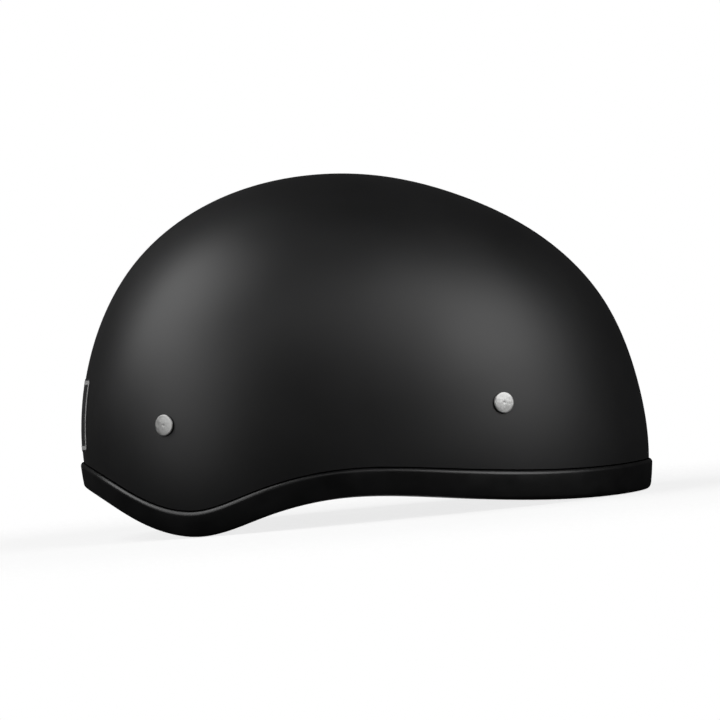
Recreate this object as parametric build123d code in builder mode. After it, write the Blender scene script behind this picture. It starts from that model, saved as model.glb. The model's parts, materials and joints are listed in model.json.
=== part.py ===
from build123d import *
import math
import os

# Half shell helmet, standing on its rim on a table.
# +X points forward, +Y to the wearer's left and +Z up. The origin lies on the table,
# under the middle of the helmet.

# Shell
shell_length = 266.0
shell_width = 212.0
shell_height = 162.0
shell_wall = 3.2
# Side outline of the shell, from the brow over the crown to the nape and back
# underneath the opening: shares of half the length and of the height.
outline_shares = [
    (0.997, 0.090),
    (0.983, 0.317),
    (0.887, 0.565),
    (0.695, 0.758),
    (0.426, 0.898),
    (0.150, 0.978),
    (-0.132, 1.000),
    (-0.440, 0.954),
    (-0.739, 0.802),
    (-0.941, 0.525),
    (-0.995, 0.270),
    (-0.940, 0.000),
    (-0.700, -0.270),
    (-0.150, -0.450),
    (0.450, -0.400),
    (0.860, -0.210),
]
widest_height = 46.0
fullness_share = 2.25
brow_taper_share = 0.10

# Lower edge of the shell: places along half the length, and heights over the table
edge_height_nape = 30.8
edge_height_lobe = 2.97
edge_height_ear = 14.4
edge_height_brow = 2.8
edge_place_shares = [-1.060, -0.927, -0.786, -0.580, -0.370, -0.115, 0.245, 0.655, 0.872, 1.060]
edge_heights = [
    1.05 * edge_height_nape,
    0.80 * edge_height_nape,
    0.39 * edge_height_nape,
    edge_height_lobe,
    0.62 * edge_height_ear,
    edge_height_ear,
    0.72 * edge_height_ear,
    1.37 * edge_height_brow,
    edge_height_brow,
    1.45 * edge_height_brow,
]

# Rubber trim round the edge
trim_leg = 1.6
trim_base = 2.2
trim_height_nape = 9.4
trim_height_brow = 11.8
trim_inner_height = 8.0
trim_clearance = 0.15
trim_seat_gap = 0.5
trim_top_gap = 0.9

# Foam liner and comfort pads
liner_gap = 0.4
liner_thickness = 20.0
pad_gap = 0.3
pad_thickness = 6.0
pad_spacing = 6.0
pad_band_height = 36.0
brow_pad_half_angle = 46.0
nape_pad_half_angle = 44.0
crown_pad_length = 128.0
crown_pad_width = 96.0
crown_pad_place = -14.0

# Straps
webbing_width = 20.0
webbing_thickness = 1.6
webbing_gap = 0.2
front_exit_place = 46.0
rear_exit_place = -64.0
yoke_apex_place = -4.0
yoke_lean = 10.0
yoke_height = 65.0
yoke_straight = 10.0
hinge_room = 1.2
layer_gap = 0.6

# Rivets and the plates behind them
rivet_head_diameter = 10.4
rivet_head_height = 1.5
rivet_shank_diameter = 4.8
rivet_tail_diameter = 8.0
rivet_tail_height = 1.2
rivet_clearance = 0.1
rivet_tail_clearance = 0.25
front_rivet_place = 64.2
front_rivet_height = 47.8
rear_rivet_place = -89.7
rear_rivet_height = 52.0
plate_diameter = 16.0
plate_thickness = 1.2
channel_clearance = 2.0
channel_depth_clearance = 1.0

# Double D-ring closure on the left
ring_wire = 3.0
ring_half_width = 13.0
ring_corner = 2.5
ring_straight = 0.5
ring_clearance = 0.25
loop_height = 10.0
doubled_length = 24.0

# Long strap on the right, folded three times and held by a snap
right_chin_length = 71.0
right_return_length = 56.0
right_tail_length = 46.0
return_gap = 1.4
tail_gap = 2.6
snap_distance = 8.0
snap_cap_diameter = 12.0
snap_cap_height = 1.7
snap_flange_diameter = 9.0
snap_flange_thickness = 0.8
snap_shank_diameter = 3.0
snap_stud_diameter = 3.8
snap_socket_diameter = 10.0
snap_play = 0.2
snap_base_thickness = 0.6
snap_face_gap = 0.1

cut_over = 30.0

half_length = shell_length / 2
half_width = shell_width / 2
outline_points = [(x * half_length, z * shell_height) for x, z in outline_shares]

with BuildLine(Plane.XZ) as side_outline:
    Spline(*outline_points, periodic=True)

# The side outline as radii about the widest point, one every half degree
outline_steps = 720
outline_edge = side_outline.edges()[0]
outline_radii = []
for step in range(outline_steps):
    point = outline_edge.position_at(step / outline_steps)
    angle = math.atan2(point.Z - widest_height, point.X) % math.tau
    outline_radii.append((angle, math.hypot(point.X, point.Z - widest_height)))
outline_radii.sort()


def outline_radius(angle):
    """Distance from the widest point to the side outline, at an angle above forward."""
    angle %= math.tau
    low, high = 0, len(outline_radii)
    while low < high:
        middle = (low + high) // 2
        if outline_radii[middle][0] < angle:
            low = middle + 1
        else:
            high = middle
    before = outline_radii[low - 1]
    after = outline_radii[low % len(outline_radii)]
    gap = (after[0] - before[0]) % math.tau
    share = ((angle - before[0]) % math.tau) / gap if gap else 0.0
    return before[1] + share * (after[1] - before[1])


def depth(x, y, z, inset=0.0):
    """Negative inside the form that lies inset below the shell's outside, positive outside it."""
    reach = math.hypot(x, z - widest_height)
    radius = outline_radius(math.atan2(z - widest_height, x)) - inset
    sideways = abs(y) / (1 - brow_taper_share * x / half_length)
    return (reach / radius) ** fullness_share + (sideways / (half_width - inset)) ** fullness_share - 1


def surface_point(origin, direction, inset=0.0):
    """Where a ray from a point inside the helmet meets the form."""
    near, far = 0.0, shell_length
    for _ in range(45):
        middle = (near + far) / 2
        if depth(*(origin + direction * middle), inset) < 0:
            near = middle
        else:
            far = middle
    return origin + direction * near


def surface_normal(point, inset=0.0):
    """Outward direction of the form at a point on it."""
    step = shell_length / 2000
    slopes = [
        depth(*(point + axis * step), inset) - depth(*(point - axis * step), inset)
        for axis in (Vector(1, 0, 0), Vector(0, 1, 0), Vector(0, 0, 1))
    ]
    return Vector(*slopes).normalized()


# The form is lofted through arches that open like a fan about a line across the
# helmet below its edge, so its surface has no pole anywhere on the shell.
fan_depth = 30.0
fan_reach = 82.0
fan_sections = 15
arch_reach = 80.0
arch_points = 17


def dome(inset=0.0):
    """Solid form of the helmet, inset below the shell's outside. Its foot is under the table."""
    centre = Vector(0, 0, -fan_depth)
    arches = []
    for section in range(fan_sections):
        lean = math.radians(fan_reach * (2 * section / (fan_sections - 1) - 1))
        outward = Vector(math.sin(lean), 0, math.cos(lean))
        points = []
        for step in range(arch_points):
            turn = math.radians(arch_reach * (2 * step / (arch_points - 1) - 1))
            ray = outward * math.cos(turn) + Vector(0, 1, 0) * math.sin(turn)
            points.append(surface_point(centre, ray, inset))
        steps = [step / (arch_points - 1) for step in range(arch_points)]
        arch = Edge.make_spline(points, parameters=steps)
        foot = Edge.make_line(points[-1], points[0])
        arches.append(Face(Wire([arch, foot])))
    return loft(arches, mode=Mode.PRIVATE)


# Height of the shell's lower edge over the table, along the helmet
edge_points = [
    (place * half_length, height) for place, height in zip(edge_place_shares, edge_heights)
]
with BuildLine(Plane.XZ) as edge_line:
    Spline(*edge_points)
edge_curve = edge_line.edges()[0]
edge_steps = 400
edge_samples = [edge_curve.position_at(step / edge_steps) for step in range(edge_steps + 1)]


def edge_height(x):
    """Height of the shell's lower edge at a place along the helmet."""
    for before, after in zip(edge_samples, edge_samples[1:]):
        if before.X <= x <= after.X:
            share = (x - before.X) / (after.X - before.X)
            return before.Z + share * (after.Z - before.Z)
    return edge_samples[0].Z if x < 0 else edge_samples[-1].Z


def above_edge(rise=0.0):
    """Everything above the shell's lower edge, set back from it by rise in the side view."""
    line = []
    step = shell_length / 1000
    for x, z in edge_points:
        slope = (edge_height(x + step) - edge_height(x - step)) / (2 * step)
        upright = Vector(-slope, 1).normalized()
        line.append((x + rise * upright.X, z + rise * upright.Y))
    (start, _), (end, _) = line[0], line[-1]
    top = shell_height + cut_over
    with BuildPart(mode=Mode.PRIVATE) as region:
        with BuildSketch(Plane.XZ):
            with BuildLine():
                Spline(*line)
                Polyline(line[-1], (end, top), (start, top), line[0])
            make_face()
        extrude(amount=shell_width, both=True)
    return region.part


def side_y(x, z, inset=0.0):
    """Distance from the middle plane to the form, at a place along the helmet and a height."""
    near, far = 0.0, shell_width
    for _ in range(45):
        middle = (near + far) / 2
        if depth(x, middle, z, inset) < 0:
            near = middle
        else:
            far = middle
    return near


# Depths below the shell's outside of the layers inside it
liner_outside = shell_wall + liner_gap
liner_inside = liner_outside + liner_thickness
pad_outside = liner_inside + pad_gap
pad_inside = pad_outside + pad_thickness
root_outside = shell_wall + webbing_gap
root_inside = root_outside + webbing_thickness
plate_outside = root_inside + webbing_gap
plate_inside = plate_outside + plate_thickness
channel_inside = plate_inside + rivet_tail_clearance + rivet_tail_height + channel_depth_clearance


def band(region, outside, inside):
    """The layer of the helmet's form between two depths, inside a region."""
    with BuildPart(mode=Mode.PRIVATE) as layer:
        add(dome(outside))
        add(region, mode=Mode.INTERSECT)
        add(dome(inside), mode=Mode.SUBTRACT)
    return layer.part


# Outer shell, before its rivet holes
shell_blank = band(above_edge(), 0.0, shell_wall)


# Rivets, square to the shell where they sit
def rivet_plane(place, height, side):
    point = Vector(place, side * side_y(place, height), height)
    return Plane(origin=point, z_dir=surface_normal(point))


rivet_planes = [
    rivet_plane(place, height, side)
    for side in (1, -1)
    for place, height in (
        (front_rivet_place, front_rivet_height),
        (rear_rivet_place, rear_rivet_height),
    )
]
rivet_hole = rivet_shank_diameter / 2 + rivet_clearance


def depth_behind(plane, inset):
    """Distance straight in from a rivet's seat to the form at a depth."""
    near, far = 0.0, 2 * inset
    for _ in range(40):
        middle = (near + far) / 2
        if depth(*(plane.origin - plane.z_dir * middle), inset) > 0:
            near = middle
        else:
            far = middle
    return near


def rivet(plane):
    """Shell rivet: domed head outside, shank, and the tail set against its plate."""
    tail = depth_behind(plane, plate_inside) + rivet_tail_clearance
    up = (Align.CENTER, Align.CENTER, Align.MIN)
    with BuildPart(plane, mode=Mode.PRIVATE) as piece:
        with Locations((0, 0, rivet_clearance)):
            Cylinder(rivet_head_diameter / 2, rivet_head_height, align=up)
        fillet(piece.edges().group_by(Axis(plane.origin, plane.z_dir))[-1], 0.6 * rivet_head_height)
        with Locations((0, 0, -tail - rivet_tail_height)):
            Cylinder(rivet_tail_diameter / 2, rivet_tail_height, align=up)
            Cylinder(
                rivet_shank_diameter / 2, tail + rivet_tail_height + rivet_clearance, align=up
            )
    return piece.part


with BuildPart() as strap_rivets:
    for plane in rivet_planes:
        add(rivet(plane))
strap_rivets.part.label = "strap_rivets"

with BuildPart() as rivet_bores:
    for plane in rivet_planes:
        with BuildPart(plane, mode=Mode.PRIVATE) as bore:
            Cylinder(rivet_hole, 2 * channel_inside)
        add(bore.part)

with BuildPart() as outer_shell:
    add(shell_blank)
    add(rivet_bores.part, mode=Mode.SUBTRACT)
outer_shell.part.label = "outer_shell"

with BuildPart() as plate_posts:
    for plane in rivet_planes:
        with BuildPart(plane, mode=Mode.PRIVATE) as post:
            Cylinder(plate_diameter / 2, 2 * channel_inside)
        add(post.part)

with BuildPart() as rivet_plates:
    add(band(plate_posts.part, plate_outside, plate_inside))
    add(rivet_bores.part, mode=Mode.SUBTRACT)
rivet_plates.part.label = "rivet_plates"


# Rubber trim: a solid bead round the edge, then the slot that the shell sits in
def rim_point(turn):
    """Point in the middle of the wall at the shell's edge, at an angle in plan."""
    near, far = 0.0, shell_length
    for _ in range(45):
        middle = (near + far) / 2
        x = middle * math.cos(turn)
        if depth(x, middle * math.sin(turn), edge_height(x), shell_wall / 2) < 0:
            near = middle
        else:
            far = middle
    x = near * math.cos(turn)
    return Vector(x, near * math.sin(turn), edge_height(x))


def trim_section(turn):
    """Outline of the trim, square to the shell's edge."""
    point = rim_point(turn)
    step = math.pi / 720
    along = (rim_point(turn + step) - rim_point(turn - step)).normalized()
    out = surface_normal(point, shell_wall / 2)
    out = (out - along * out.dot(along)).normalized()
    up = out.cross(along)
    if up.Z < 0:
        up = up * -1
    # The shell is cut straight across the helmet, so where its edge slopes the inner
    # corner hangs below the middle of the wall, and the base bulges round that corner.
    near = shell_length / 1000
    slope = (edge_height(point.X + near) - edge_height(point.X - near)) / (2 * near)
    across = Vector(-slope, 0, 1).cross(along)
    fall = max(0.0, across.dot(up) / across.dot(out)) * shell_wall / 2
    share = (1 + point.X / half_length) / 2
    outer = trim_height_nape + share * (trim_height_brow - trim_height_nape)
    inner = trim_inner_height
    wall, leg, base = shell_wall, trim_leg, trim_base
    outline = [
        (-base - 0.5 * fall, -wall / 2),
        (-0.88 * base, 0.60 * leg),
        (-0.25 * base, 0.96 * leg),
        (0.35 * outer, leg),
        (0.70 * outer, leg),
        (outer - 0.45 * leg, 1.02 * leg),
        (outer, 0.30 * leg),
        (0.94 * outer, -0.40 * wall),
        (inner, -wall - 0.45 * leg),
        (inner - 0.50 * leg, -wall - leg),
        (0.45 * inner, -wall - leg),
        (-0.25 * base - 0.6 * fall, -wall - 0.96 * leg),
        (-0.88 * base - fall, -wall - 0.60 * leg),
    ]
    points = []
    for height, away in outline:
        low, high = -trim_inner_height, trim_inner_height
        foot = point + up * height
        for _ in range(40):
            middle = (low + high) / 2
            if depth(*(foot + out * middle)) < 0:
                low = middle
            else:
                high = middle
        points.append(foot + out * (low + away))
    return points


trim_sections = 41
trim_outlines = [
    trim_section(math.pi * step / (trim_sections - 1)) for step in range(trim_sections)
]
lengths = [
    (after - before).length
    for before, after in zip(trim_outlines[0], trim_outlines[0][1:] + trim_outlines[0][:1])
]
trim_steps = [sum(lengths[:count]) / sum(lengths) for count in range(len(lengths) + 1)]
half_bead = loft(
    [
        Face(Wire([Edge.make_spline(points, periodic=True, parameters=trim_steps)]))
        for points in trim_outlines
    ]
)
slot = band(above_edge(-trim_seat_gap), -trim_clearance, shell_wall + trim_clearance)

with BuildPart() as edge_trim:
    add(half_bead)
    mirror(about=Plane.XZ)
    add(slot, mode=Mode.SUBTRACT)
edge_trim.part.label = "edge_trim"


# Where the straps leave the helmet: the hinge line of each side's strap, just inside
# the temple pad, and the slab of webbing that reaches it under the liner
root_height = max(
    edge_height(place + side * 0.6 * webbing_width)
    for place in (front_exit_place, rear_exit_place)
    for side in (-1, 0, 1)
) + trim_inner_height + trim_top_gap
hinge_height = root_height + webbing_thickness / 2
root_room = root_height + webbing_thickness + 2 * webbing_gap
liner_rise = trim_inner_height + trim_top_gap


def hinge_end(place):
    leaned = yoke_straight * math.tan(math.radians(yoke_lean))
    room = side_y(place, hinge_height + yoke_straight, pad_inside) - leaned
    return Vector(place, room - webbing_thickness / 2 - 2 * pad_gap, hinge_height)


hinge_rear = hinge_end(rear_exit_place - 0.55 * webbing_width)
hinge_front = hinge_end(front_exit_place + 0.55 * webbing_width)
hinge_axis = (hinge_front - hinge_rear).normalized()


def hinge_at(place):
    """Point of the left hinge line at a place along the helmet."""
    return hinge_rear + hinge_axis * ((place - hinge_rear.X) / hinge_axis.X)


# The straps' own frame on the left: x along the hinge, y up the strap, z into the helmet
lean = math.radians(yoke_lean)
outward = Vector(0, 0, 1).cross(hinge_axis)
strap_up = (Vector(0, 0, 1) * math.cos(lean) + outward * math.sin(lean)).normalized()
strap_plane = Plane(
    origin=hinge_at(yoke_apex_place), x_dir=hinge_axis, z_dir=hinge_axis.cross(strap_up)
)


def strap_point(along, up, into):
    """Point in the helmet's frame, from the left strap's own frame."""
    return strap_plane.origin + hinge_axis * along + strap_plane.y_dir * up + strap_plane.z_dir * into


def tape(plane, path, width):
    """Flat prism of rounded strips along a path, through the helmet's left half."""
    with BuildSketch(plane, mode=Mode.PRIVATE) as strips:
        for start, end in zip(path, path[1:]):
            run = Vector(*end) - Vector(*start)
            middle = (Vector(*start) + Vector(*end)) * 0.5
            with Locations((middle.X, middle.Y)):
                SlotCenterToCenter(
                    run.length, width, rotation=math.degrees(math.atan2(run.Y, run.X))
                )
    return strips.sketch


def half_prism(sketch):
    with BuildPart(mode=Mode.PRIVATE) as prism:
        extrude(sketch, amount=shell_width, dir=(0, 1, 0))
    return prism.part


strap_paths = [
    (front_exit_place, front_rivet_place, front_rivet_height),
    (rear_exit_place, rear_rivet_place, rear_rivet_height),
]


def root_path(exit_place, place, height):
    return [
        (place, height),
        (exit_place, root_height + yoke_straight),
        (exit_place, root_height - webbing_width),
    ]


with BuildPart() as above_roots:
    with Locations((0, 0, root_height)):
        Box(
            2 * shell_length,
            2 * shell_width,
            shell_height,
            align=(Align.CENTER, Align.CENTER, Align.MIN),
        )

with BuildPart() as left_strap_roots:
    for exit_place, place, height in strap_paths:
        path = root_path(exit_place, place, height)
        with BuildPart(mode=Mode.PRIVATE) as strip:
            add(half_prism(tape(Plane.XZ, path, webbing_width)))
            add(above_roots.part, mode=Mode.INTERSECT)
        with BuildPart(mode=Mode.PRIVATE) as slab:
            front, rear = exit_place + webbing_width / 2, exit_place - webbing_width / 2
            with BuildSketch(Plane.XY.offset(root_height)):
                with BuildLine():
                    Polyline(
                        (rear, hinge_at(rear).Y + hinge_room),
                        (front, hinge_at(front).Y + hinge_room),
                        (front, shell_width),
                        (rear, shell_width),
                        close=True,
                    )
                make_face()
            extrude(amount=webbing_thickness)
            add(dome(root_outside), mode=Mode.INTERSECT)
        add(band(strip.part, root_outside, root_inside))
        add(slab.part)
    add(rivet_bores.part, mode=Mode.SUBTRACT)
left_strap_roots.part.label = "left_strap_roots"

with BuildPart() as right_strap_roots:
    add(mirror(left_strap_roots.part, about=Plane.XZ, mode=Mode.PRIVATE))
right_strap_roots.part.label = "right_strap_roots"

# Room for the straps in the liner and the pads: a channel behind each rivet and a
# notch in the lower edge
with BuildPart() as channels:
    for exit_place, place, height in strap_paths:
        path = root_path(exit_place, place, height)
        width = webbing_width + 2 * channel_clearance
        add(band(half_prism(tape(Plane.XZ, path, width)), 0.0, channel_inside))
    mirror(about=Plane.XZ)

with BuildPart() as notches:
    for exit_place, _, _ in strap_paths:
        with Locations((exit_place, 0, root_room)):
            Box(
                webbing_width + 2 * channel_clearance,
                2 * shell_width,
                shell_height,
                align=(Align.CENTER, Align.CENTER, Align.MAX),
            )

with BuildPart() as impact_liner:
    add(band(above_edge(liner_rise), liner_outside, liner_inside))
    add(channels.part, mode=Mode.SUBTRACT)
    add(notches.part, mode=Mode.SUBTRACT)
impact_liner.part.label = "impact_liner"

# Comfort pads
pad_band = band(above_edge(liner_rise), pad_outside, pad_inside)
with BuildPart() as pad_ring:
    add(pad_band)
    add(above_edge(liner_rise + pad_band_height), mode=Mode.SUBTRACT)
    add(notches.part, mode=Mode.SUBTRACT)


def sector(start, end):
    """Prism over a sector in plan, between two angles, narrowed by half the pads' spacing."""
    reach = 2 * shell_length
    a, b = math.radians(start), math.radians(end)
    shift = Vector(math.cos((a + b) / 2), math.sin((a + b) / 2)) * (
        pad_spacing / 2 / math.sin((b - a) / 2)
    )
    middle = (a + b) / 2
    with BuildPart(mode=Mode.PRIVATE) as prism:
        with BuildSketch():
            with BuildLine():
                Polyline(
                    (shift.X, shift.Y),
                    (shift.X + reach * math.cos(a), shift.Y + reach * math.sin(a)),
                    (shift.X + reach * math.cos(middle), shift.Y + reach * math.sin(middle)),
                    (shift.X + reach * math.cos(b), shift.Y + reach * math.sin(b)),
                    close=True,
                )
            make_face()
        extrude(amount=shell_height)
    return prism.part


def ring_pad(start, end):
    with BuildPart() as pad:
        add(pad_ring.part)
        add(sector(start, end), mode=Mode.INTERSECT)
    return pad


brow_pad = ring_pad(-brow_pad_half_angle, brow_pad_half_angle)
brow_pad.part.label = "brow_pad"
left_temple_pad = ring_pad(brow_pad_half_angle, 180 - nape_pad_half_angle)
left_temple_pad.part.label = "left_temple_pad"
right_temple_pad = ring_pad(180 + nape_pad_half_angle, 360 - brow_pad_half_angle)
right_temple_pad.part.label = "right_temple_pad"
nape_pad = ring_pad(180 - nape_pad_half_angle, 180 + nape_pad_half_angle)
nape_pad.part.label = "nape_pad"

with BuildPart() as crown_column:
    with BuildSketch(Plane.XY.offset(shell_height / 2)):
        with Locations((crown_pad_place, 0)):
            Ellipse(crown_pad_length / 2, crown_pad_width / 2)
    extrude(amount=shell_height)

with BuildPart() as crown_pad:
    add(band(crown_column.part, pad_outside, pad_inside))
crown_pad.part.label = "crown_pad"

# Strap yokes: two tapes that meet in front of the ear, folded up inside the temple
front_along = (front_exit_place - yoke_apex_place) / hinge_axis.X
rear_along = (rear_exit_place - yoke_apex_place) / hinge_axis.X
apex_up = yoke_height - webbing_width / 2

with BuildPart() as left_strap_yoke:
    for along in (front_along, rear_along):
        path = [(along, -webbing_width), (along, yoke_straight), (0, apex_up)]
        extrude(tape(strap_plane, path, webbing_width), amount=webbing_thickness / 2, both=True)
    with BuildSketch(strap_plane):
        with Locations((0, yoke_height)):
            Rectangle(webbing_width, webbing_width, align=(Align.CENTER, Align.MAX))
    extrude(amount=webbing_thickness / 2, both=True)
    with BuildSketch(strap_plane):
        Rectangle(2 * shell_length, 2 * webbing_width, align=(Align.CENTER, Align.MAX))
    extrude(amount=webbing_width, both=True, mode=Mode.SUBTRACT)
left_strap_yoke.part.label = "left_strap_yoke"

with BuildPart() as right_strap_yoke:
    add(mirror(left_strap_yoke.part, about=Plane.XZ, mode=Mode.PRIVATE))
right_strap_yoke.part.label = "right_strap_yoke"

# Depths of the folded layers in front of the yoke's middle
chin_near = webbing_thickness / 2 + layer_gap
chin_far = chin_near + webbing_thickness
return_near = chin_far + return_gap
return_far = return_near + webbing_thickness
tail_near = return_far + tail_gap
tail_far = tail_near + webbing_thickness
side_profile = Plane(
    origin=strap_point(webbing_width / 2, 0, 0), x_dir=strap_plane.z_dir, z_dir=-hinge_axis
)

# Short strap on the left, doubled over the bars of the two D-rings
loop_into = chin_far
bar_into = ring_wire / 2 + ring_clearance / 2
loop_half_width = ring_wire + 1.5 * ring_clearance
loop_half_height = ring_wire / 2 + ring_clearance

with BuildPart() as left_chin_strap:
    with BuildSketch(side_profile):
        with Locations(((chin_near + chin_far) / 2, loop_height + loop_half_height)):
            Rectangle(
                webbing_thickness,
                yoke_height - loop_height - loop_half_height,
                align=(Align.CENTER, Align.MIN),
            )
        with Locations((chin_far + webbing_thickness / 2, loop_height + loop_half_height)):
            Rectangle(webbing_thickness, doubled_length, align=(Align.CENTER, Align.MIN))
        with Locations((loop_into, loop_height)):
            RectangleRounded(
                2 * (loop_half_width + webbing_thickness),
                2 * (loop_half_height + webbing_thickness),
                0.98 * (loop_half_height + webbing_thickness),
            )
            RectangleRounded(
                2 * loop_half_width,
                2 * loop_half_height,
                0.98 * loop_half_height,
                mode=Mode.SUBTRACT,
            )
    extrude(amount=webbing_width)
left_chin_strap.part.label = "left_chin_strap"


def d_ring(into):
    """One ring: a straight bar through the loop and a bow below it."""
    side = ring_half_width
    corner = ring_corner
    low = -ring_corner - ring_straight
    tilt = corner * (1 - math.sqrt(0.5))
    plane = Plane(
        origin=strap_point(0, loop_height, into), x_dir=hinge_axis, z_dir=strap_plane.z_dir
    )
    with BuildPart() as ring:
        with BuildLine(plane) as path:
            Line((0, 0), (side - corner, 0))
            ThreePointArc((side - corner, 0), (side - tilt, -tilt), (side, -corner))
            Line((side, -corner), (side, low))
            ThreePointArc((side, low), (0, low - side), (-side, low))
            Line((-side, low), (-side, -corner))
            ThreePointArc((-side, -corner), (tilt - side, -tilt), (corner - side, 0))
            Line((corner - side, 0), (0, 0))
        with BuildSketch(Plane(origin=plane.origin, z_dir=hinge_axis)):
            Circle(ring_wire / 2)
        sweep(path=path.wires()[0])
    return ring


outer_d_ring = d_ring(loop_into - bar_into)
outer_d_ring.part.label = "outer_d_ring"
inner_d_ring = d_ring(loop_into + bar_into)
inner_d_ring.part.label = "inner_d_ring"


# Long strap on the right, drawn in the left strap's frame and mirrored
def strap_layer(low, high, near, far):
    """One flat length of webbing, between two heights and two depths."""
    with BuildPart() as layer:
        with BuildSketch(strap_plane.offset(near)):
            with Locations((0, low)):
                Rectangle(webbing_width, high - low, align=(Align.CENTER, Align.MIN))
        extrude(amount=far - near)
    return layer


fold_low = yoke_height - right_chin_length
fold_high = fold_low + right_return_length
tail_low = fold_high - right_tail_length
snap_up = tail_low + snap_distance
snap_bore_radius = snap_shank_diameter / 2 + snap_face_gap
snap_axis = Plane(origin=strap_point(0, snap_up, 0), z_dir=strap_plane.z_dir)

with BuildPart() as snap_bore:
    with BuildSketch(snap_axis):
        Circle(snap_bore_radius)
    extrude(amount=2 * tail_far)

chin_layer = strap_layer(fold_low, yoke_height, chin_near, chin_far)
return_layer = strap_layer(fold_low, fold_high, return_near, return_far)
tail_layer = strap_layer(tail_low, fold_high, tail_near, tail_far)


def disc(radius, near, far):
    with BuildPart() as piece:
        with BuildSketch(snap_axis.offset(near)):
            Circle(radius)
        extrude(amount=far - near)
    return piece.part


stud_base = return_far + snap_face_gap + snap_base_thickness
socket_face = stud_base + snap_play
socket_top = tail_near - snap_face_gap
stud_top = socket_top - snap_base_thickness / 2 - snap_play

with BuildPart() as stud:
    flange = return_near - snap_face_gap
    add(disc(snap_flange_diameter / 2, flange - snap_flange_thickness, flange))
    add(disc(snap_shank_diameter / 2, flange, return_far + snap_face_gap))
    add(disc(snap_flange_diameter / 2, return_far + snap_face_gap, stud_base))
    add(disc(snap_stud_diameter / 2, stud_base, stud_top))

with BuildPart() as socket:
    add(disc(snap_socket_diameter / 2, socket_face, socket_top))
    add(
        disc(snap_stud_diameter / 2 + snap_play, socket_face, stud_top + snap_play),
        mode=Mode.SUBTRACT,
    )
    add(disc(snap_shank_diameter / 2, socket_top, tail_far + snap_face_gap))
    add(disc(snap_cap_diameter / 2, tail_far + snap_face_gap, tail_far + snap_cap_height))
    fillet(
        socket.edges().group_by(Axis(snap_axis.origin, snap_axis.z_dir))[-1],
        0.6 * snap_cap_height,
    )

with BuildPart() as right_chin_strap:
    add(mirror(chin_layer.part, about=Plane.XZ, mode=Mode.PRIVATE))
right_chin_strap.part.label = "right_chin_strap"

with BuildPart() as right_strap_return:
    add(mirror(return_layer.part - snap_bore.part, about=Plane.XZ, mode=Mode.PRIVATE))
right_strap_return.part.label = "right_strap_return"

with BuildPart() as right_strap_tail:
    add(mirror(tail_layer.part - snap_bore.part, about=Plane.XZ, mode=Mode.PRIVATE))
right_strap_tail.part.label = "right_strap_tail"

with BuildPart() as snap_stud:
    add(mirror(stud.part, about=Plane.XZ, mode=Mode.PRIVATE))
snap_stud.part.label = "snap_stud"

with BuildPart() as snap_socket:
    add(mirror(socket.part, about=Plane.XZ, mode=Mode.PRIVATE))
snap_socket.part.label = "snap_socket"

os.makedirs("parts", exist_ok=True)
export_step(outer_shell.part, "parts/outer_shell.step")
export_step(edge_trim.part, "parts/edge_trim.step")
export_step(impact_liner.part, "parts/impact_liner.step")
export_step(crown_pad.part, "parts/crown_pad.step")
export_step(brow_pad.part, "parts/brow_pad.step")
export_step(nape_pad.part, "parts/nape_pad.step")
export_step(left_temple_pad.part, "parts/left_temple_pad.step")
export_step(right_temple_pad.part, "parts/right_temple_pad.step")
export_step(strap_rivets.part, "parts/strap_rivets.step")
export_step(rivet_plates.part, "parts/rivet_plates.step")
export_step(left_strap_roots.part, "parts/left_strap_roots.step")
export_step(right_strap_roots.part, "parts/right_strap_roots.step")
export_step(left_strap_yoke.part, "parts/left_strap_yoke.step")
export_step(right_strap_yoke.part, "parts/right_strap_yoke.step")
export_step(left_chin_strap.part, "parts/left_chin_strap.step")
export_step(outer_d_ring.part, "parts/outer_d_ring.step")
export_step(inner_d_ring.part, "parts/inner_d_ring.step")
export_step(right_chin_strap.part, "parts/right_chin_strap.step")
export_step(right_strap_return.part, "parts/right_strap_return.step")
export_step(right_strap_tail.part, "parts/right_strap_tail.step")
export_step(snap_stud.part, "parts/snap_stud.step")
export_step(snap_socket.part, "parts/snap_socket.step")
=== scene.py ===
# %% [markdown]
# # A half shell motorcycle helmet
# The helmet is a smooth, dull black dome with a rubber bead pressed over its edge. Two satin
# rivets on each side hold the chin straps, which are put away inside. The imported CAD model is
# the fixed frame: every piece below is made in metres, where the CAD has it.

# %% Load the frame
import json
import math

import bmesh
import bpy
import numpy as np
from mathutils import Matrix, Vector


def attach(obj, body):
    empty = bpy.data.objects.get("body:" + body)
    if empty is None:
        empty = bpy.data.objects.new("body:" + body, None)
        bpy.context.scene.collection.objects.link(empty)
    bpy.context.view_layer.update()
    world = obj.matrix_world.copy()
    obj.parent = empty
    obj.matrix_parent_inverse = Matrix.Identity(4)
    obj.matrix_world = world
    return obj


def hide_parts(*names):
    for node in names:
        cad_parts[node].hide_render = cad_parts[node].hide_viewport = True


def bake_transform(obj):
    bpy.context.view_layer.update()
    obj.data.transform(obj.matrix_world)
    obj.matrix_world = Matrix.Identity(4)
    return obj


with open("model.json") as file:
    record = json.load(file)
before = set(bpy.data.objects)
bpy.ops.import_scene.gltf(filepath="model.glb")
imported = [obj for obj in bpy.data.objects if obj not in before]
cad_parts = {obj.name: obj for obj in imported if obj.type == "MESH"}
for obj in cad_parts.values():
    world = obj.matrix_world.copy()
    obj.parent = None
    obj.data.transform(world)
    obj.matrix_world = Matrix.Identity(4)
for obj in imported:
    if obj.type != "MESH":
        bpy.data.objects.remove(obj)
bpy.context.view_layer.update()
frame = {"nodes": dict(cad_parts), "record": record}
MM = 0.001


def in_scene(name, data):
    """An object that shows some data in the scene."""
    made = bpy.data.objects.new(name, data)
    bpy.context.scene.collection.objects.link(made)
    return made


# %% [markdown]
# ## Camera
# The photograph is a side view from the wearer's right, taken from far away, so the outline is
# nearly without perspective. The helmet was held level there, but it stands tipped 5.4 degrees
# forward on its rim, so the camera is rolled by that angle.

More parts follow.
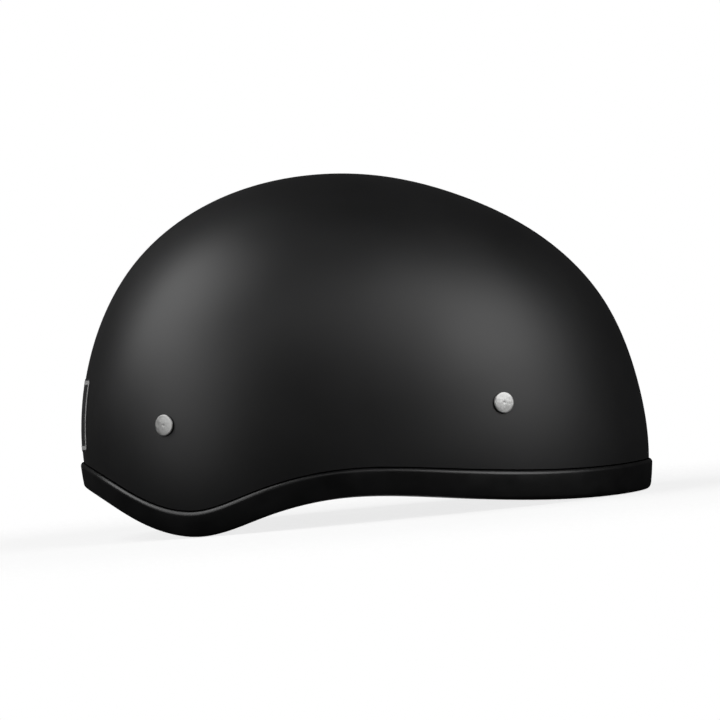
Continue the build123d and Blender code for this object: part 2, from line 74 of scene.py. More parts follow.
# %% Camera
camera_distance, sensor_width = 2.2, 36
camera_target = Vector((1.52, 0, 73.14)) * MM
field_width = 339.5 * MM
camera_roll = math.radians(5.4)

camera_data = bpy.data.cameras.new("camera")
camera_data.sensor_width = sensor_width
camera_data.lens = sensor_width * camera_distance / field_width
camera = in_scene("camera", camera_data)
look = Matrix.Rotation(math.radians(90), 4, "X") @ Matrix.Rotation(-camera_roll, 4, "Z")
camera.matrix_world = Matrix.Translation(camera_target - Vector((0, camera_distance, 0))) @ look
bpy.context.scene.camera = camera
print("lens", round(camera_data.lens, 1))

# %% [markdown]
# ## Small helpers
# A mesh is made from rows of points in millimetres. A node tree is built like a recipe: each
# step names its settings, and an output of an earlier step is linked where a number could be.


# %% Mesh helpers
def make_mesh(name, points, faces, material):
    """A piece from points in millimetres and faces as lists of point numbers."""
    mesh = bpy.data.meshes.new(name)
    mesh.from_pydata([tuple(float(c) * MM for c in p) for p in points], [], faces)
    mesh.update()
    mesh.materials.append(material)
    mesh.shade_smooth()
    return in_scene(name, mesh)


def outward(piece, weld=True):
    """Turns all faces of a closed piece outwards, and can weld points that meet."""
    work = bmesh.new()
    work.from_mesh(piece.data)
    if weld:
        bmesh.ops.remove_doubles(work, verts=work.verts, dist=0.002 * MM)
    bmesh.ops.recalc_face_normals(work, faces=work.faces)
    work.to_mesh(piece.data)
    work.free()
    return piece


def mark_smooth_edges(piece, limit):
    """Smooth shading, with a crease wherever faces meet at more than the limit in degrees."""
    piece.data.shade_smooth()
    piece.data.set_sharp_from_angle(angle=math.radians(limit))


def grid_faces(rows, columns, close_rows=False, close_columns=False, start=0):
    """Faces of a grid of points numbered row by row."""
    faces = []
    for i in range(rows if close_rows else rows - 1):
        for j in range(columns if close_columns else columns - 1):
            a = i * columns + j
            b = i * columns + (j + 1) % columns
            c = (i + 1) % rows * columns + (j + 1) % columns
            d = (i + 1) % rows * columns + j
            faces.append([start + a, start + b, start + c, start + d])
    return faces


# %% Node helpers
class Nodes:
    """A node tree built step by step."""

    def __init__(self, tree, prefix="ShaderNode"):
        self.tree, self.prefix = tree, prefix

    def put(self, socket, value):
        """Links an output to a socket, or sets the socket to a value."""
        if hasattr(value, "is_linked"):
            self.tree.links.new(value, socket)
        else:
            socket.default_value = value

    def node(self, kind, **settings):
        """A node with its properties and sockets, given by name."""
        made = self.tree.nodes.new(self.prefix + kind)
        for key, value in settings.items():
            if hasattr(made, key):
                setattr(made, key, value)
            else:
                self.put(made.inputs[key.replace("_", " ")], value)
        return made

    def math(self, operation, first, second, **settings):
        made = self.node("Math", operation=operation, **settings)
        self.put(made.inputs[0], first)
        self.put(made.inputs[1], second)
        return made.outputs[0]

    def mix(self, chooser, first, second):
        """The first shader where the chooser is 0 and the second where it is 1."""
        made = self.node("MixShader", Fac=chooser)
        self.put(made.inputs[1], first)
        self.put(made.inputs[2], second)
        return made.outputs[0]


class Finish(Nodes):
    """A material whose surface is one Principled shader."""

    def __init__(self, name):
        self.material = bpy.data.materials.new(name)
        self.material.use_nodes = True
        super().__init__(self.material.node_tree)
        self.surface = self.tree.nodes["Principled BSDF"]

    def coordinates(self, kind="Object"):
        return self.node("TexCoord").outputs[kind]

    def noise(self, scale, detail=3.0, roughness=0.5):
        made = self.node("TexNoise", Scale=scale, Detail=detail, Roughness=roughness)
        self.put(made.inputs["Vector"], self.coordinates())
        return made.outputs["Fac"]

    def spread(self, value, low, high):
        """Maps a noise from 0..1 to low..high."""
        made = self.node("MapRange", From_Min=0.25, From_Max=0.75, To_Min=low, To_Max=high)
        self.put(made.inputs["Value"], value)
        return made.outputs["Result"]

    def tint(self, value, dark, light):
        """Colour between dark and light as a noise goes from 0 to 1."""
        ramp = self.node("ValToRGB", Fac=value)
        for stop, position, colour in zip(ramp.color_ramp.elements, (0.3, 0.7), (dark, light)):
            stop.position = position
            stop.color = (*colour, 1)
        return ramp.outputs["Color"]

    def bump(self, height, strength, distance, **under):
        return self.node("Bump", Strength=strength, Distance=distance, Height=height, **under).outputs[0]

    def set(self, **sockets):
        """Sets or links the surface's own sockets."""
        for key, value in sockets.items():
            colour = (*value, 1) if isinstance(value, tuple) else value
            self.put(self.surface.inputs[key.replace("_", " ")], colour)


# %% [markdown]
# ## Light
# Large soft boxes stand left and right of the helmet, a little above it, each with a small one
# below it. They make the two broad highlights on the dome and leave its middle dark, and a weak
# one in front lifts the shade between them. Each is a name, a place, a point to aim at, a width
# and a height in metres, and a power in watts.


# %% Lights
def soft_box(name, place, aim, width, height, power):
    data = bpy.data.lights.new(name, "AREA")
    data.shape = "RECTANGLE"
    data.size, data.size_y = width, height
    data.energy = power
    lamp = in_scene(name, data)
    lamp.location = place
    lamp.visible_camera = False
    lamp.rotation_euler = (Vector(aim) - Vector(place)).to_track_quat("-Z", "Y").to_euler()
    return lamp


soft_box("soft_box_left", (-1.26, -0.16, 1.25), (-0.02, 0, 0.1), 1.4, 1.4, 26)
soft_box("soft_box_left_low", (-1.28, -0.98, 0.45), (-0.02, 0, 0.07), 0.9, 0.9, 6.8)
soft_box("soft_box_right", (1.2, -0.90, 0.9), (0.02, 0, 0.09), 1.3, 1.3, 21.3)
soft_box("soft_box_right_low", (1.3, -1.1, 0.33), (0.02, 0, 0.06), 0.7, 0.7, 3.5)
soft_box("soft_box_front", (0.0, -1.8, 1.6), (0, 0, 0.09), 1.5, 0.6, 3.4)

# This one stands right behind the helmet as the camera sees it, so it lights the far side and
# nothing that the camera sees. A lamp higher up would also light the top of the dome
soft_box("soft_box_far", (0.0, 2.2, 0.08), (0, 0, 0.08), 0.4, 0.4, 22)

# The last one is under the floor, and shines up through a clear window under the helmet
soft_box("soft_box_below", (-0.16, 0.10, -0.7), (0, 0, 0.06), 0.45, 0.45, 13)
print("seven soft boxes")

# %% [markdown]
# ## Background
# The world is nearly black for most rays, because a white room would wash a black shell grey.
# Glossy rays meet a little white, and the camera sees plain white, straight and through glass.

# %% World
world = bpy.data.worlds.new("studio")
bpy.context.scene.world = world
world.use_nodes = True
world.node_tree.nodes.clear()
room = Nodes(world.node_tree)
path = room.node("LightPath")
seen = room.node("Background", Color=(0.02, 0.02, 0.02, 1)).outputs[0]
for ray, white_level in (("Is Glossy Ray", 0.024), ("Is Transmission Ray", 1.0), ("Is Camera Ray", 1.0)):
    white = room.node("Background", Color=(1, 1, 1, 1), Strength=white_level)
    seen = room.mix(path.outputs[ray], seen, white.outputs[0])
room.node("OutputWorld", Surface=seen)
bpy.context.scene.view_settings.view_transform = "Standard"
print("world", len(world.node_tree.nodes), "nodes")

# %% [markdown]
# ## Floor
# The floor only has to keep a soft shadow. The camera sees the white background through it,
# mixed with a share of its lit surface, so straps that hang below the rim show through it too.
# For rays to a lamp it has an oval window under the helmet, and from below it is clear. All
# other rays meet a dark surface, which throws no light back on the black trim.

# %% Floor
floor_reach = 6000.0
lit_share_near, whitening_from, whitening_to = 0.20, 0.16, 0.45
window_half_length, window_half_width = 0.126, 0.100

floor_finish = Finish("floor")
floor_finish.set(Base_Color=(0.02, 0.02, 0.02), Roughness=0.9, Specular_IOR_Level=0.0)
rays = floor_finish.node("LightPath")
place = floor_finish.coordinates()
from_middle = floor_finish.node("VectorMath", operation="LENGTH", Vector=place)
whiteness = floor_finish.node(
    "MapRange",
    interpolation_type="SMOOTHSTEP",
    Value=from_middle.outputs["Value"],
    From_Min=whitening_from,
    From_Max=whitening_to,
    To_Min=1 - lit_share_near,
)
pale = floor_finish.node("BsdfDiffuse", Color=(0.8, 0.8, 0.8, 1)).outputs[0]
clear = floor_finish.node("BsdfTransparent").outputs[0]
shown = floor_finish.mix(whiteness.outputs["Result"], pale, clear)
oval = floor_finish.node("VectorMath", operation="MULTIPLY", Vector=place)
oval.inputs[1].default_value = (1 / window_half_length, 1 / window_half_width, 0)
how_far = floor_finish.node("VectorMath", operation="LENGTH", Vector=oval.outputs[0])
under_helmet = floor_finish.math("LESS_THAN", how_far.outputs["Value"], 1.0)
window = floor_finish.math("MULTIPLY", under_helmet, rays.outputs["Is Shadow Ray"])
underside = floor_finish.node("NewGeometry").outputs["Backfacing"]
laid = floor_finish.surface.outputs[0]
for chooser, choice in (
    (rays.outputs["Is Camera Ray"], shown),
    (rays.outputs["Is Transmission Ray"], shown),
    (window, clear),
    (underside, clear),
):
    laid = floor_finish.mix(chooser, laid, choice)
floor_finish.put(floor_finish.tree.nodes["Material Output"].inputs["Surface"], laid)
floor_corners = [(x * floor_reach, y * floor_reach, 0) for x, y in ((-1, -1), (1, -1), (1, 1), (-1, 1))]
floor = make_mesh("floor", floor_corners, [[0, 1, 2, 3]], floor_finish.material)
print("floor", len(floor_finish.tree.nodes), "nodes")

# %% [markdown]
# ## Finishes
# The shell is sprayed with dull black paint, so its colour is nearly even and its light comes from a rough
# reflection with a very fine orange peel. Just over the trim the paint turns dead black: painted shade that
# stands for the shadow in the dark joint between shell and trim. Rubber is a little shinier but uneven. The
# rivet heads are turned aluminium that has been pressed, so they carry small dents. Noise makes all of it,
# because it needs no picture file and has no seam on a round dome.

# %% Paint, rubber and metal
# Heights over the trim's crest, in centimetres, where the painted shade of the joint is full and where it is
# gone.
joint_shade_full, joint_shade_gone = 0.035, 0.07


def mottled(name, wander, colours, roughness, grain=None, **sockets):
    """A finish whose colour wanders with a noise, and its roughness too where it has a range.

    A grain is a second noise with a strength and a depth in metres, which roughens the surface.
    """
    made = Finish(name)
    cloud = made.noise(*wander)
    sockets["Base_Color"] = made.tint(cloud, *colours)
    sockets["Roughness"] = made.spread(cloud, *roughness) if isinstance(roughness, tuple) else roughness
    if grain:
        sockets["Normal"] = made.bump(made.noise(*grain[0]), *grain[1:])
    made.set(**sockets)
    return made


paint = Finish("dull_black_paint")
peel = paint.noise(900.0, 2.0)
cloud = paint.noise(18.0, 3.0)
over_trim = paint.node("Attribute", attribute_name="over_trim").outputs["Fac"]
# Painted shade: just over the trim's crest the paint goes black, fully rough and metallic, so it reflects
# nothing and shows the joint as a dark line of shadow.
joint_shade = paint.node(
    "MapRange", Value=over_trim, From_Min=joint_shade_full, From_Max=joint_shade_gone, To_Min=1.0, To_Max=0.0
).outputs["Result"]
black = paint.tint(cloud, (0.0036, 0.0036, 0.0038), (0.0056, 0.0056, 0.0059))
paint.set(
    Base_Color=paint.node("MixRGB", Fac=joint_shade, Color1=black, Color2=(0, 0, 0, 1)).outputs["Color"],
    Roughness=paint.math("ADD", joint_shade, paint.spread(cloud, 0.44, 0.50), use_clamp=True),
    Metallic=joint_shade,
    Normal=paint.bump(peel, 0.12, 0.00012),
    Specular_IOR_Level=0.4,
)

soot = (0.0020, 0.0020, 0.0021), (0.0040, 0.0040, 0.0042)
aluminium = (0.21, 0.21, 0.208), (0.32, 0.32, 0.314)
zinc = (0.38, 0.39, 0.4), (0.52, 0.52, 0.52)
nickel = (0.55, 0.55, 0.53), (0.68, 0.67, 0.65)
lacquer = (0.02, 0.02, 0.021), (0.05, 0.05, 0.052)
rubber_grain, dents = ((1400.0, 4.0), 0.25, 0.00015), ((420.0, 2.0), 0.35, 0.0003)
rubber = mottled("black_rubber", (60.0, 4.0), soot, (0.30, 0.42), rubber_grain, Specular_IOR_Level=0.38)
rivet_metal = mottled("satin_aluminium", (700.0, 6.0, 0.7), aluminium, (0.27, 0.42), dents, Metallic=0.85)
plate_metal = mottled("zinc_plated_steel", (300.0, 3.0), zinc, (0.3, 0.45), Metallic=1.0)
ring_metal = mottled("nickel_plated_wire", (350.0, 4.0), nickel, (0.16, 0.30), Metallic=1.0)
snap_metal = mottled("black_lacquered_snap", (800.0, 4.0), lacquer, (0.25, 0.4), Metallic=0.6)
print("finishes of the hard pieces")

# %% [markdown]
# Foam is moulded from beads, which show as a fine cell pattern. Webbing is woven from thick yarns: two
# crossed waves in the tape's own UV map make its ribs. The pads are brushed knit, painted darker in the
# bottom of their sewn channels as shade in the creases.

# %% Foam, webbing and cloth
foam = Finish("moulded_black_foam")
beads = foam.node("TexVoronoi", Scale=420.0, Vector=foam.coordinates())
foam_cloud = foam.noise(30.0, 3.0)
foam.set(
    Base_Color=foam.tint(foam_cloud, (0.030, 0.030, 0.032), (0.050, 0.050, 0.052)),
    Roughness=0.75,
    Normal=foam.bump(beads.outputs["Distance"], 0.5, 0.0006),
)

webbing = Finish("woven_webbing")
weave_map = webbing.coordinates("UV")
rib, weft = [
    webbing.node("TexWave", wave_type="BANDS", bands_direction=way, Scale=scale, Vector=weave_map)
    for way, scale in (("X", 0.24), ("Y", 0.17))
]
crossed = webbing.math("MULTIPLY", rib.outputs["Fac"], weft.outputs["Fac"])
fuzz = webbing.noise(1500.0, 4.0)
webbing.set(
    Base_Color=webbing.tint(crossed, (0.012, 0.012, 0.013), (0.045, 0.045, 0.048)),
    Roughness=0.82,
    Normal=webbing.bump(fuzz, 0.3, 0.0002, Normal=webbing.bump(crossed, 0.8, 0.0004)),
    Sheen_Weight=0.25,
    Sheen_Roughness=0.4,
)

knit = Finish("brushed_knit")
loops = knit.node("TexVoronoi", Scale=900.0, Vector=knit.coordinates())
nap = knit.noise(220.0, 5.0, 0.6)
# Painted shade: the channel attribute darkens the knit in the bottom of each sewn channel.
pressed = knit.node("Attribute", attribute_name="channel").outputs["Fac"]
fluff = knit.tint(nap, (0.042, 0.043, 0.046), (0.070, 0.071, 0.075))
knit.set(
    Base_Color=knit.node("MixRGB", Fac=pressed, Color1=fluff, Color2=(0.008, 0.008, 0.009, 1)).outputs[0],
    Roughness=0.95,
    Normal=knit.bump(loops.outputs["Distance"], 0.6, 0.0005, Normal=knit.bump(nap, 0.4, 0.0008)),
    Sheen_Weight=0.5,
    Sheen_Roughness=0.5,
)

coal = (0.020, 0.020, 0.021), (0.028, 0.028, 0.029)
grey = (0.22, 0.22, 0.22), (0.36, 0.36, 0.36)
slate = (0.06, 0.06, 0.062), (0.11, 0.11, 0.112)
vinyl = mottled("black_vinyl", (500.0, 2.0), coal, (0.30, 0.38))
border_ink = mottled("grey_border", (900.0, 4.0), grey, 0.5)
thread = mottled("polyester_thread", (2500.0, 3.0), slate, 0.6, ((2500.0, 3.0), 0.4, 0.0001))
print("finishes of the soft pieces")

# %% [markdown]
# ## The helmet's form
# The dome follows one rule. In the side view its outline is a closed curve, and across it the
# surface swells as a superellipse, a little narrower at the brow than at the nape. A point
# lies on the shell where the rule below gives zero, and a ray from inside finds that point.
# A sculpted mesh could look as good, but shell, trim, rivets, label and pads all have to find
# the same surface, and a rule can be asked for it anywhere.

# %% The form's values
half_length, half_width, shell_height = 133.0, 106.0, 162.0
shell_wall = 3.2
widest_height = 46.0
fullness, brow_taper = 2.25, 0.10
outline_shares = [
    (0.997, 0.090), (0.983, 0.317), (0.887, 0.565), (0.695, 0.758), (0.426, 0.898), (0.150, 0.978),
    (-0.132, 1.000), (-0.440, 0.954), (-0.739, 0.802), (-0.941, 0.525), (-0.995, 0.270),
    (-0.940, 0.000), (-0.700, -0.270), (-0.150, -0.450), (0.450, -0.400), (0.860, -0.210),
]
print("shell", 2 * half_length, "x", 2 * half_width, "x", shell_height, "mm")

# %% [markdown]
# The outline is a cubic curve through its points with even bends, like the CAD's spline. The
# turn at each point comes from a small set of linear equations.


# %% A smooth curve
def smooth_curve(points, closed, count):
    """Points along a cubic curve through all the given points, with even bends."""
    p = np.array(points, float)
    if closed:
        p = np.vstack([p, p[:1]])
    gaps = np.linalg.norm(np.diff(p, axis=0), axis=1)
    u = np.concatenate([[0], np.cumsum(gaps)])
    n = len(u)
    slopes = np.diff(p, axis=0) / gaps[:, None]
    size = n - 1 if closed else n
    rule, aim = np.zeros((size, size)), np.zeros((size, p.shape[1]))
    for i in range(size):
        if not closed and i in (0, n - 1):
            span = slice(0, 4) if i == 0 else slice(n - 4, n)
            rule[i, i] = 1
            for axis in range(p.shape[1]):
                fit = np.polyfit(u[span], p[span, axis], 3)
                aim[i, axis] = np.polyval(np.polyder(fit), u[i])
            continue
        before, after = gaps[i - 1], gaps[i % len(gaps)]
        rule[i, (i - 1) % size] += after
        rule[i, i] += 2 * (before + after)
        rule[i, (i + 1) % size] += before
        aim[i] = 3 * (after * slopes[i - 1] + before * slopes[i % len(gaps)])
    turn = np.linalg.solve(rule, aim)
    if closed:
        turn = np.vstack([turn, turn[:1]])
    s = np.linspace(0, u[-1], count, endpoint=not closed)
    k = np.clip(np.searchsorted(u, s, side="right") - 1, 0, n - 2)
    t = ((s - u[k]) / gaps[k])[:, None]
    h = gaps[k][:, None]
    return (
        (2 * t**3 - 3 * t**2 + 1) * p[k]
        + (t**3 - 2 * t**2 + t) * h * turn[k]
        + (3 * t**2 - 2 * t**3) * p[k + 1]
        + (t**3 - t**2) * h * turn[k + 1]
    )


outline = smooth_curve([(x * half_length, z * shell_height) for x, z in outline_shares], True, 4000)
print("outline", len(outline), "points")

# %% [markdown]
# The rule needs the outline's radius in every direction from a point inside. Wherever a ray
# has to meet the form, the distance is halved until it does.

# %% Places on the form
outline_angles = np.arctan2(outline[:, 1] - widest_height, outline[:, 0]) % math.tau
outline_radii = np.hypot(outline[:, 0], outline[:, 1] - widest_height)
order = np.argsort(outline_angles)
outline_angles, outline_radii = outline_angles[order], outline_radii[order]


def depth(points, inset=0.0):
    """Below zero inside the form that lies inset under the shell's outside."""
    x, y, z = points[..., 0], points[..., 1], points[..., 2] - widest_height
    angle = np.arctan2(z, x) % math.tau
    radius = np.interp(angle, outline_angles, outline_radii, period=math.tau) - inset
    sideways = np.abs(y) / (1 - brow_taper * x / half_length)
    return (
        (np.hypot(x, z) / radius) ** fullness + (sideways / (half_width - inset)) ** fullness - 1
    )


def last_inside(place, shape, inset, near, far, steps):
    """Places along rays, as far out as they are still inside the form, found by halving."""
    low, high = np.full(shape, float(near)), np.full(shape, float(far))
    for _ in range(steps):
        middle = (low + high) / 2
        inside = depth(place(middle), inset) < 0
        low, high = np.where(inside, middle, low), np.where(inside, high, middle)
    return place(low)


def on_form(origins, directions, inset=0.0, near=0.0, far=260.0):
    """Where straight rays meet the form."""
    origins, directions = np.asarray(origins, float), np.asarray(directions, float)
    return last_inside(
        lambda reach: origins + directions * reach[..., None],
        directions.shape[:-1], inset, near, far, 42,
    )


def form_normals(points, inset=0.0):
    """Outward directions of the form at points on it."""
    steps = np.eye(3) * 0.05
    slopes = np.stack(
        [depth(points + step, inset) - depth(points - step, inset) for step in steps], axis=-1
    )
    return slopes / np.linalg.norm(slopes, axis=-1, keepdims=True)


print("widest at", on_form([[0, 0, widest_height]], [[0, 1, 0]])[0])

# %% [markdown]
# ## The rim
# In the side view the shell's lower edge runs high at the nape, dips to a lobe behind the ear,
# arches over the ear and comes down to the brow. Its points are shares of half the length, and
# heights that follow from four measures. Trim, liner, channels and pads follow this one curve.

# %% The rim
edge_shares = [-1.060, -0.927, -0.786, -0.580, -0.370, -0.115, 0.245, 0.655, 0.872, 1.060]
nape, lobe, ear, brow = 30.8, 2.97, 14.4, 2.8
edge_heights = [
    1.05 * nape, 0.80 * nape, 0.39 * nape, lobe, 0.62 * ear, ear, 0.72 * ear,
    1.37 * brow, brow, 1.45 * brow,
]
edge_curve = smooth_curve([(s * half_length, h) for s, h in zip(edge_shares, edge_heights)], False, 2000)


def edge_height(x):
    """Height of the shell's lower edge at places along the helmet."""
    return np.interp(x, edge_curve[:, 0], edge_curve[:, 1])


def round_plan(turns, height_at, inset, far=240.0, steps=42):
    """Points of the form at angles in plan, where the place along gives the height."""

    def place(reach):
        x = reach * np.cos(turns)
        return np.stack([x, reach * np.sin(turns), height_at(x)], axis=-1)

    return last_inside(place, np.shape(turns), inset, 0.0, far, steps)


print("rim height at the ear", round(float(edge_height(0.0)), 1), "mm")

# %% [markdown]
# ## Shell
# The rule above gives a surface that is even everywhere, which the eye expects of a moulded
# dome. Rows of points rise from the rim to the crown, outside and inside, and close round the
# edge, so the shell is one closed wall of 3.2 mm. A coarse cage under a Subdivision modifier
# would be lighter, but it draws the rim in and leaves the form that the other pieces follow.

# %% Shell
shell_columns, shell_rows = 288, 84
turns = np.linspace(0, math.tau, shell_columns, endpoint=False)
centre = np.array([0.0, 0.0, widest_height])


def dome_rows(inset, rows):
    """Rows of points from the rim up to just under the crown, and the crown's point."""
    toward = round_plan(turns, edge_height, inset) - centre
    toward /= np.linalg.norm(toward, axis=-1, keepdims=True)
    rise = np.arcsin(toward[:, 2])
    level = np.arctan2(toward[:, 1], toward[:, 0])
    result = []
    for share in np.linspace(0, 1, rows, endpoint=False):
        lift = rise + (math.pi / 2 - rise) * share
        ray = np.stack([np.cos(lift) * np.cos(level), np.cos(lift) * np.sin(level), np.sin(lift)], axis=-1)
        result.append(on_form(centre, ray, inset))
    crown = on_form(centre[None], np.array([[0.0, 0.0, 1.0]]), inset)
    return result, crown


outer_rows, outer_crown = dome_rows(0.0, shell_rows)
inner_rows, inner_crown = dome_rows(shell_wall, shell_rows)
points = np.vstack([*reversed(inner_rows), *outer_rows, inner_crown, outer_crown])
rows = 2 * shell_rows
faces = grid_faces(rows, shell_columns, close_columns=True)
last = rows * shell_columns
for j in range(shell_columns):
    k = (j + 1) % shell_columns
    faces.append([last, k, j])
    faces.append([last + 1, (rows - 1) * shell_columns + j, (rows - 1) * shell_columns + k])
shell = outward(make_mesh("shell", points, faces, paint.material))
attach(shell, "helmet")
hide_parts("outer_shell")
print("shell", len(shell.data.polygons), "faces")

# %% [markdown]
# ## Rubber trim
# The trim is an extruded U that is pressed over the edge. Its outer lip ends in a round bead,
# which catches a thin line of light in the photograph. The U is a list of arcs and points, each
# given as a height over the edge and a distance out from the shell.

# %% The trim's section
trim_leg, trim_base, trim_gap = 1.6, 2.2, 0.15
trim_height_nape, trim_height_brow, trim_inner = 9.4, 11.8, 8.0
trim_lip, trim_lip_back, lip_back_height = 1.7, 0.12, 0.8
trim_corner, brow_rounding, rounding_from = 1.5, 1.6, 0.6
inner_bead, inner_bead_out, slot_depth = 0.8, 0.95, 0.5


def arc(height, out, tall, deep, start, end, count):
    """Points of an ellipse round (height, out), between two angles in degrees."""
    angles = np.linspace(math.radians(start), math.radians(end), count)
    return [(height + tall * math.sin(a), out + deep * math.cos(a)) for a in angles]


def trim_profile(high):
    """The U's outline: outer lip, foot, inner leg with its bead, and back along the shell.

    The lower corner is rounder towards the brow, where the trim is highest.
    """
    crest = trim_gap + trim_lip_back
    inner_face = -shell_wall - trim_leg
    forward = (high - trim_height_nape) / (trim_height_brow - trim_height_nape)
    rounding = trim_corner + brow_rounding * max(0.0, forward - rounding_from) / (1 - rounding_from)
    return [
        *arc(high - lip_back_height, crest, lip_back_height, trim_lip_back, 180, 100, 5),
        *arc(high - trim_lip, crest, trim_lip, trim_leg - crest, 90, 0, 9),
        (0.5 * high, trim_leg),
        (0.25 * high, trim_leg),
        *arc(rounding - trim_base, trim_leg - trim_corner, rounding, trim_corner, 0, -82, 7),
        (-trim_base, -shell_wall / 2),
        *arc(trim_corner - trim_base, inner_face + trim_corner, trim_corner, trim_corner, -98, -180, 7),
        (0.3 * trim_inner, inner_face),
        (trim_inner - 1.5 * inner_bead, inner_face),
        *arc(trim_inner - inner_bead, -shell_wall - inner_bead_out, inner_bead, inner_bead, 180, 20, 8),
        (0.4 * trim_inner, -shell_wall - trim_gap),
        (-slot_depth, -shell_wall - trim_gap),
        (-slot_depth, trim_gap),
        (0.5 * high, trim_gap),
    ]


print("trim section", len(trim_profile(trim_height_brow)), "points")

# %% [markdown]
# Each section stands square to the rim. Its points are set off from where a ray along the
# section's own outward direction meets the form, so that the lips bend along the shell. A curve
# with a bevel object would sweep one fixed section, and this one grows towards the brow.

# %% Trim
trim_stations, seat_reach = 360, 12.0
turns = np.linspace(0, math.tau, trim_stations, endpoint=False)
middle = round_plan(turns, edge_height, shell_wall / 2)
along = np.roll(middle, -1, axis=0) - np.roll(middle, 1, axis=0)
along /= np.linalg.norm(along, axis=-1, keepdims=True)
away = form_normals(middle, shell_wall / 2)
away -= along * np.sum(away * along, axis=-1, keepdims=True)
away /= np.linalg.norm(away, axis=-1, keepdims=True)
up = np.cross(away, along)
up *= np.sign(up[:, 2:3])
forward = (1 + middle[:, 0] / half_length) / 2
sections = []
for i in range(trim_stations):
    high = trim_height_nape + forward[i] * (trim_height_brow - trim_height_nape)
    section = np.array(trim_profile(high))
    feet = middle[i] + np.outer(section[:, 0], up[i])
    outward_rays = np.tile(away[i], (len(feet), 1))
    seat = on_form(feet - seat_reach * away[i], outward_rays, 0.0, 0.0, 2 * seat_reach)
    sections.append(seat + np.outer(section[:, 1], away[i]))
trim_faces = grid_faces(trim_stations, len(sections[0]), close_rows=True, close_columns=True)
trim = outward(make_mesh("edge_trim_bead", np.vstack(sections), trim_faces, rubber.material))
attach(trim, "helmet")
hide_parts("edge_trim")
print("trim", len(trim.data.polygons), "faces")

# %% [markdown]
# ## Painted shade at the joint line
# The painted shade in the paint needs to know where the joint is. Each point of the shell therefore carries
# its height over the trim's crest beside it, in centimetres, as an attribute.

# %% Joint line
crest_point, height_limit = 4, 5.0
crests = np.array([section[crest_point] for section in sections])
spots = np.array([point.co for point in shell.data.vertices]) / MM
spot_turns = np.arctan2(spots[:, 1], spots[:, 0]) % math.tau
beside = np.round(spot_turns / math.tau * trim_stations).astype(int) % trim_stations
rise = np.sum((spots - crests[beside]) * up[beside], axis=-1)
heights = shell.data.attributes.new("over_trim", "FLOAT", "POINT")
heights.data.foreach_set("value", np.clip(rise, -height_limit, height_limit) / 10)
print("shell points beside the trim's crest", int(np.sum(np.abs(rise) < 1)))

# %% [markdown]
# ## Rivets
# Four aluminium rivets hold the straps. Each is a turned shape: a low domed head with the mark
# of the lathe's centre in its middle, a shank through the shell and a tail that is spread
# against a plate. Its outline is a list of radii and heights, spun round the rivet's axis. A
# bevelled cylinder would be quicker, but light shows the shallow dome and the mark on it.

# %% The rivet's form
head_radius, head_height, face_fall = 4.9, 1.25, 0.14
rim_rounding, rim_level, rim_foot, head_gap = 0.35, 0.70, 0.42, 0.12
centre_mark = [(0.0, head_height - 0.08), (0.3, head_height - 0.07), (0.6, head_height - 0.01)]
shank_radius, tail_radius, tail_height, tail_depth = 2.4, 4.0, 1.2, 6.75


def spun(name, profile, steps, material):
    """A turned form about the upright axis, from radii and heights that start and end on it."""
    points = [(0.0, 0.0, profile[0][1])]
    for radius, height in profile[1:-1]:
        for turn in np.linspace(0, math.tau, steps, endpoint=False):
            points.append((radius * math.cos(turn), radius * math.sin(turn), height))
    points.append((0.0, 0.0, profile[-1][1]))
    rings = len(profile) - 2
    faces = grid_faces(rings, steps, close_columns=True, start=1)
    ring = 1 + (rings - 1) * steps
    for j in range(steps):
        k = (j + 1) % steps
        faces += [[0, 1 + j, 1 + k], [len(points) - 1, ring + k, ring + j]]
    return outward(make_mesh(name, points, faces, material))


face_shares = np.linspace(0.25, 1.0, 6)
rim_arc = arc(rim_level, head_radius - rim_rounding, rim_rounding, rim_rounding, 75, 0, 5)
rivet_profile = [
    *centre_mark,
    *[(0.9 * head_radius * share, head_height * (1 - face_fall * share**2)) for share in face_shares],
    *[(radius, height) for height, radius in rim_arc],
    (head_radius - 0.1, rim_foot), (head_radius - 0.55, head_gap),
    (shank_radius, head_gap), (shank_radius, -tail_depth),
    (tail_radius, -tail_depth), (tail_radius, -tail_depth - 0.7 * tail_height),
    (0.75 * tail_radius, -tail_depth - tail_height), (0.0, -tail_depth - tail_height),
]
rivet_form = spun("rivet_form", rivet_profile, 48, rivet_metal.material)
mark_smooth_edges(rivet_form, 40)
print("rivet form", len(rivet_form.data.polygons), "faces")

# %% [markdown]
# A geometry tree sets a copy of one form on each point and turns it along a direction. Rivets
# and stitches are both made so. The result is read back as a plain mesh.


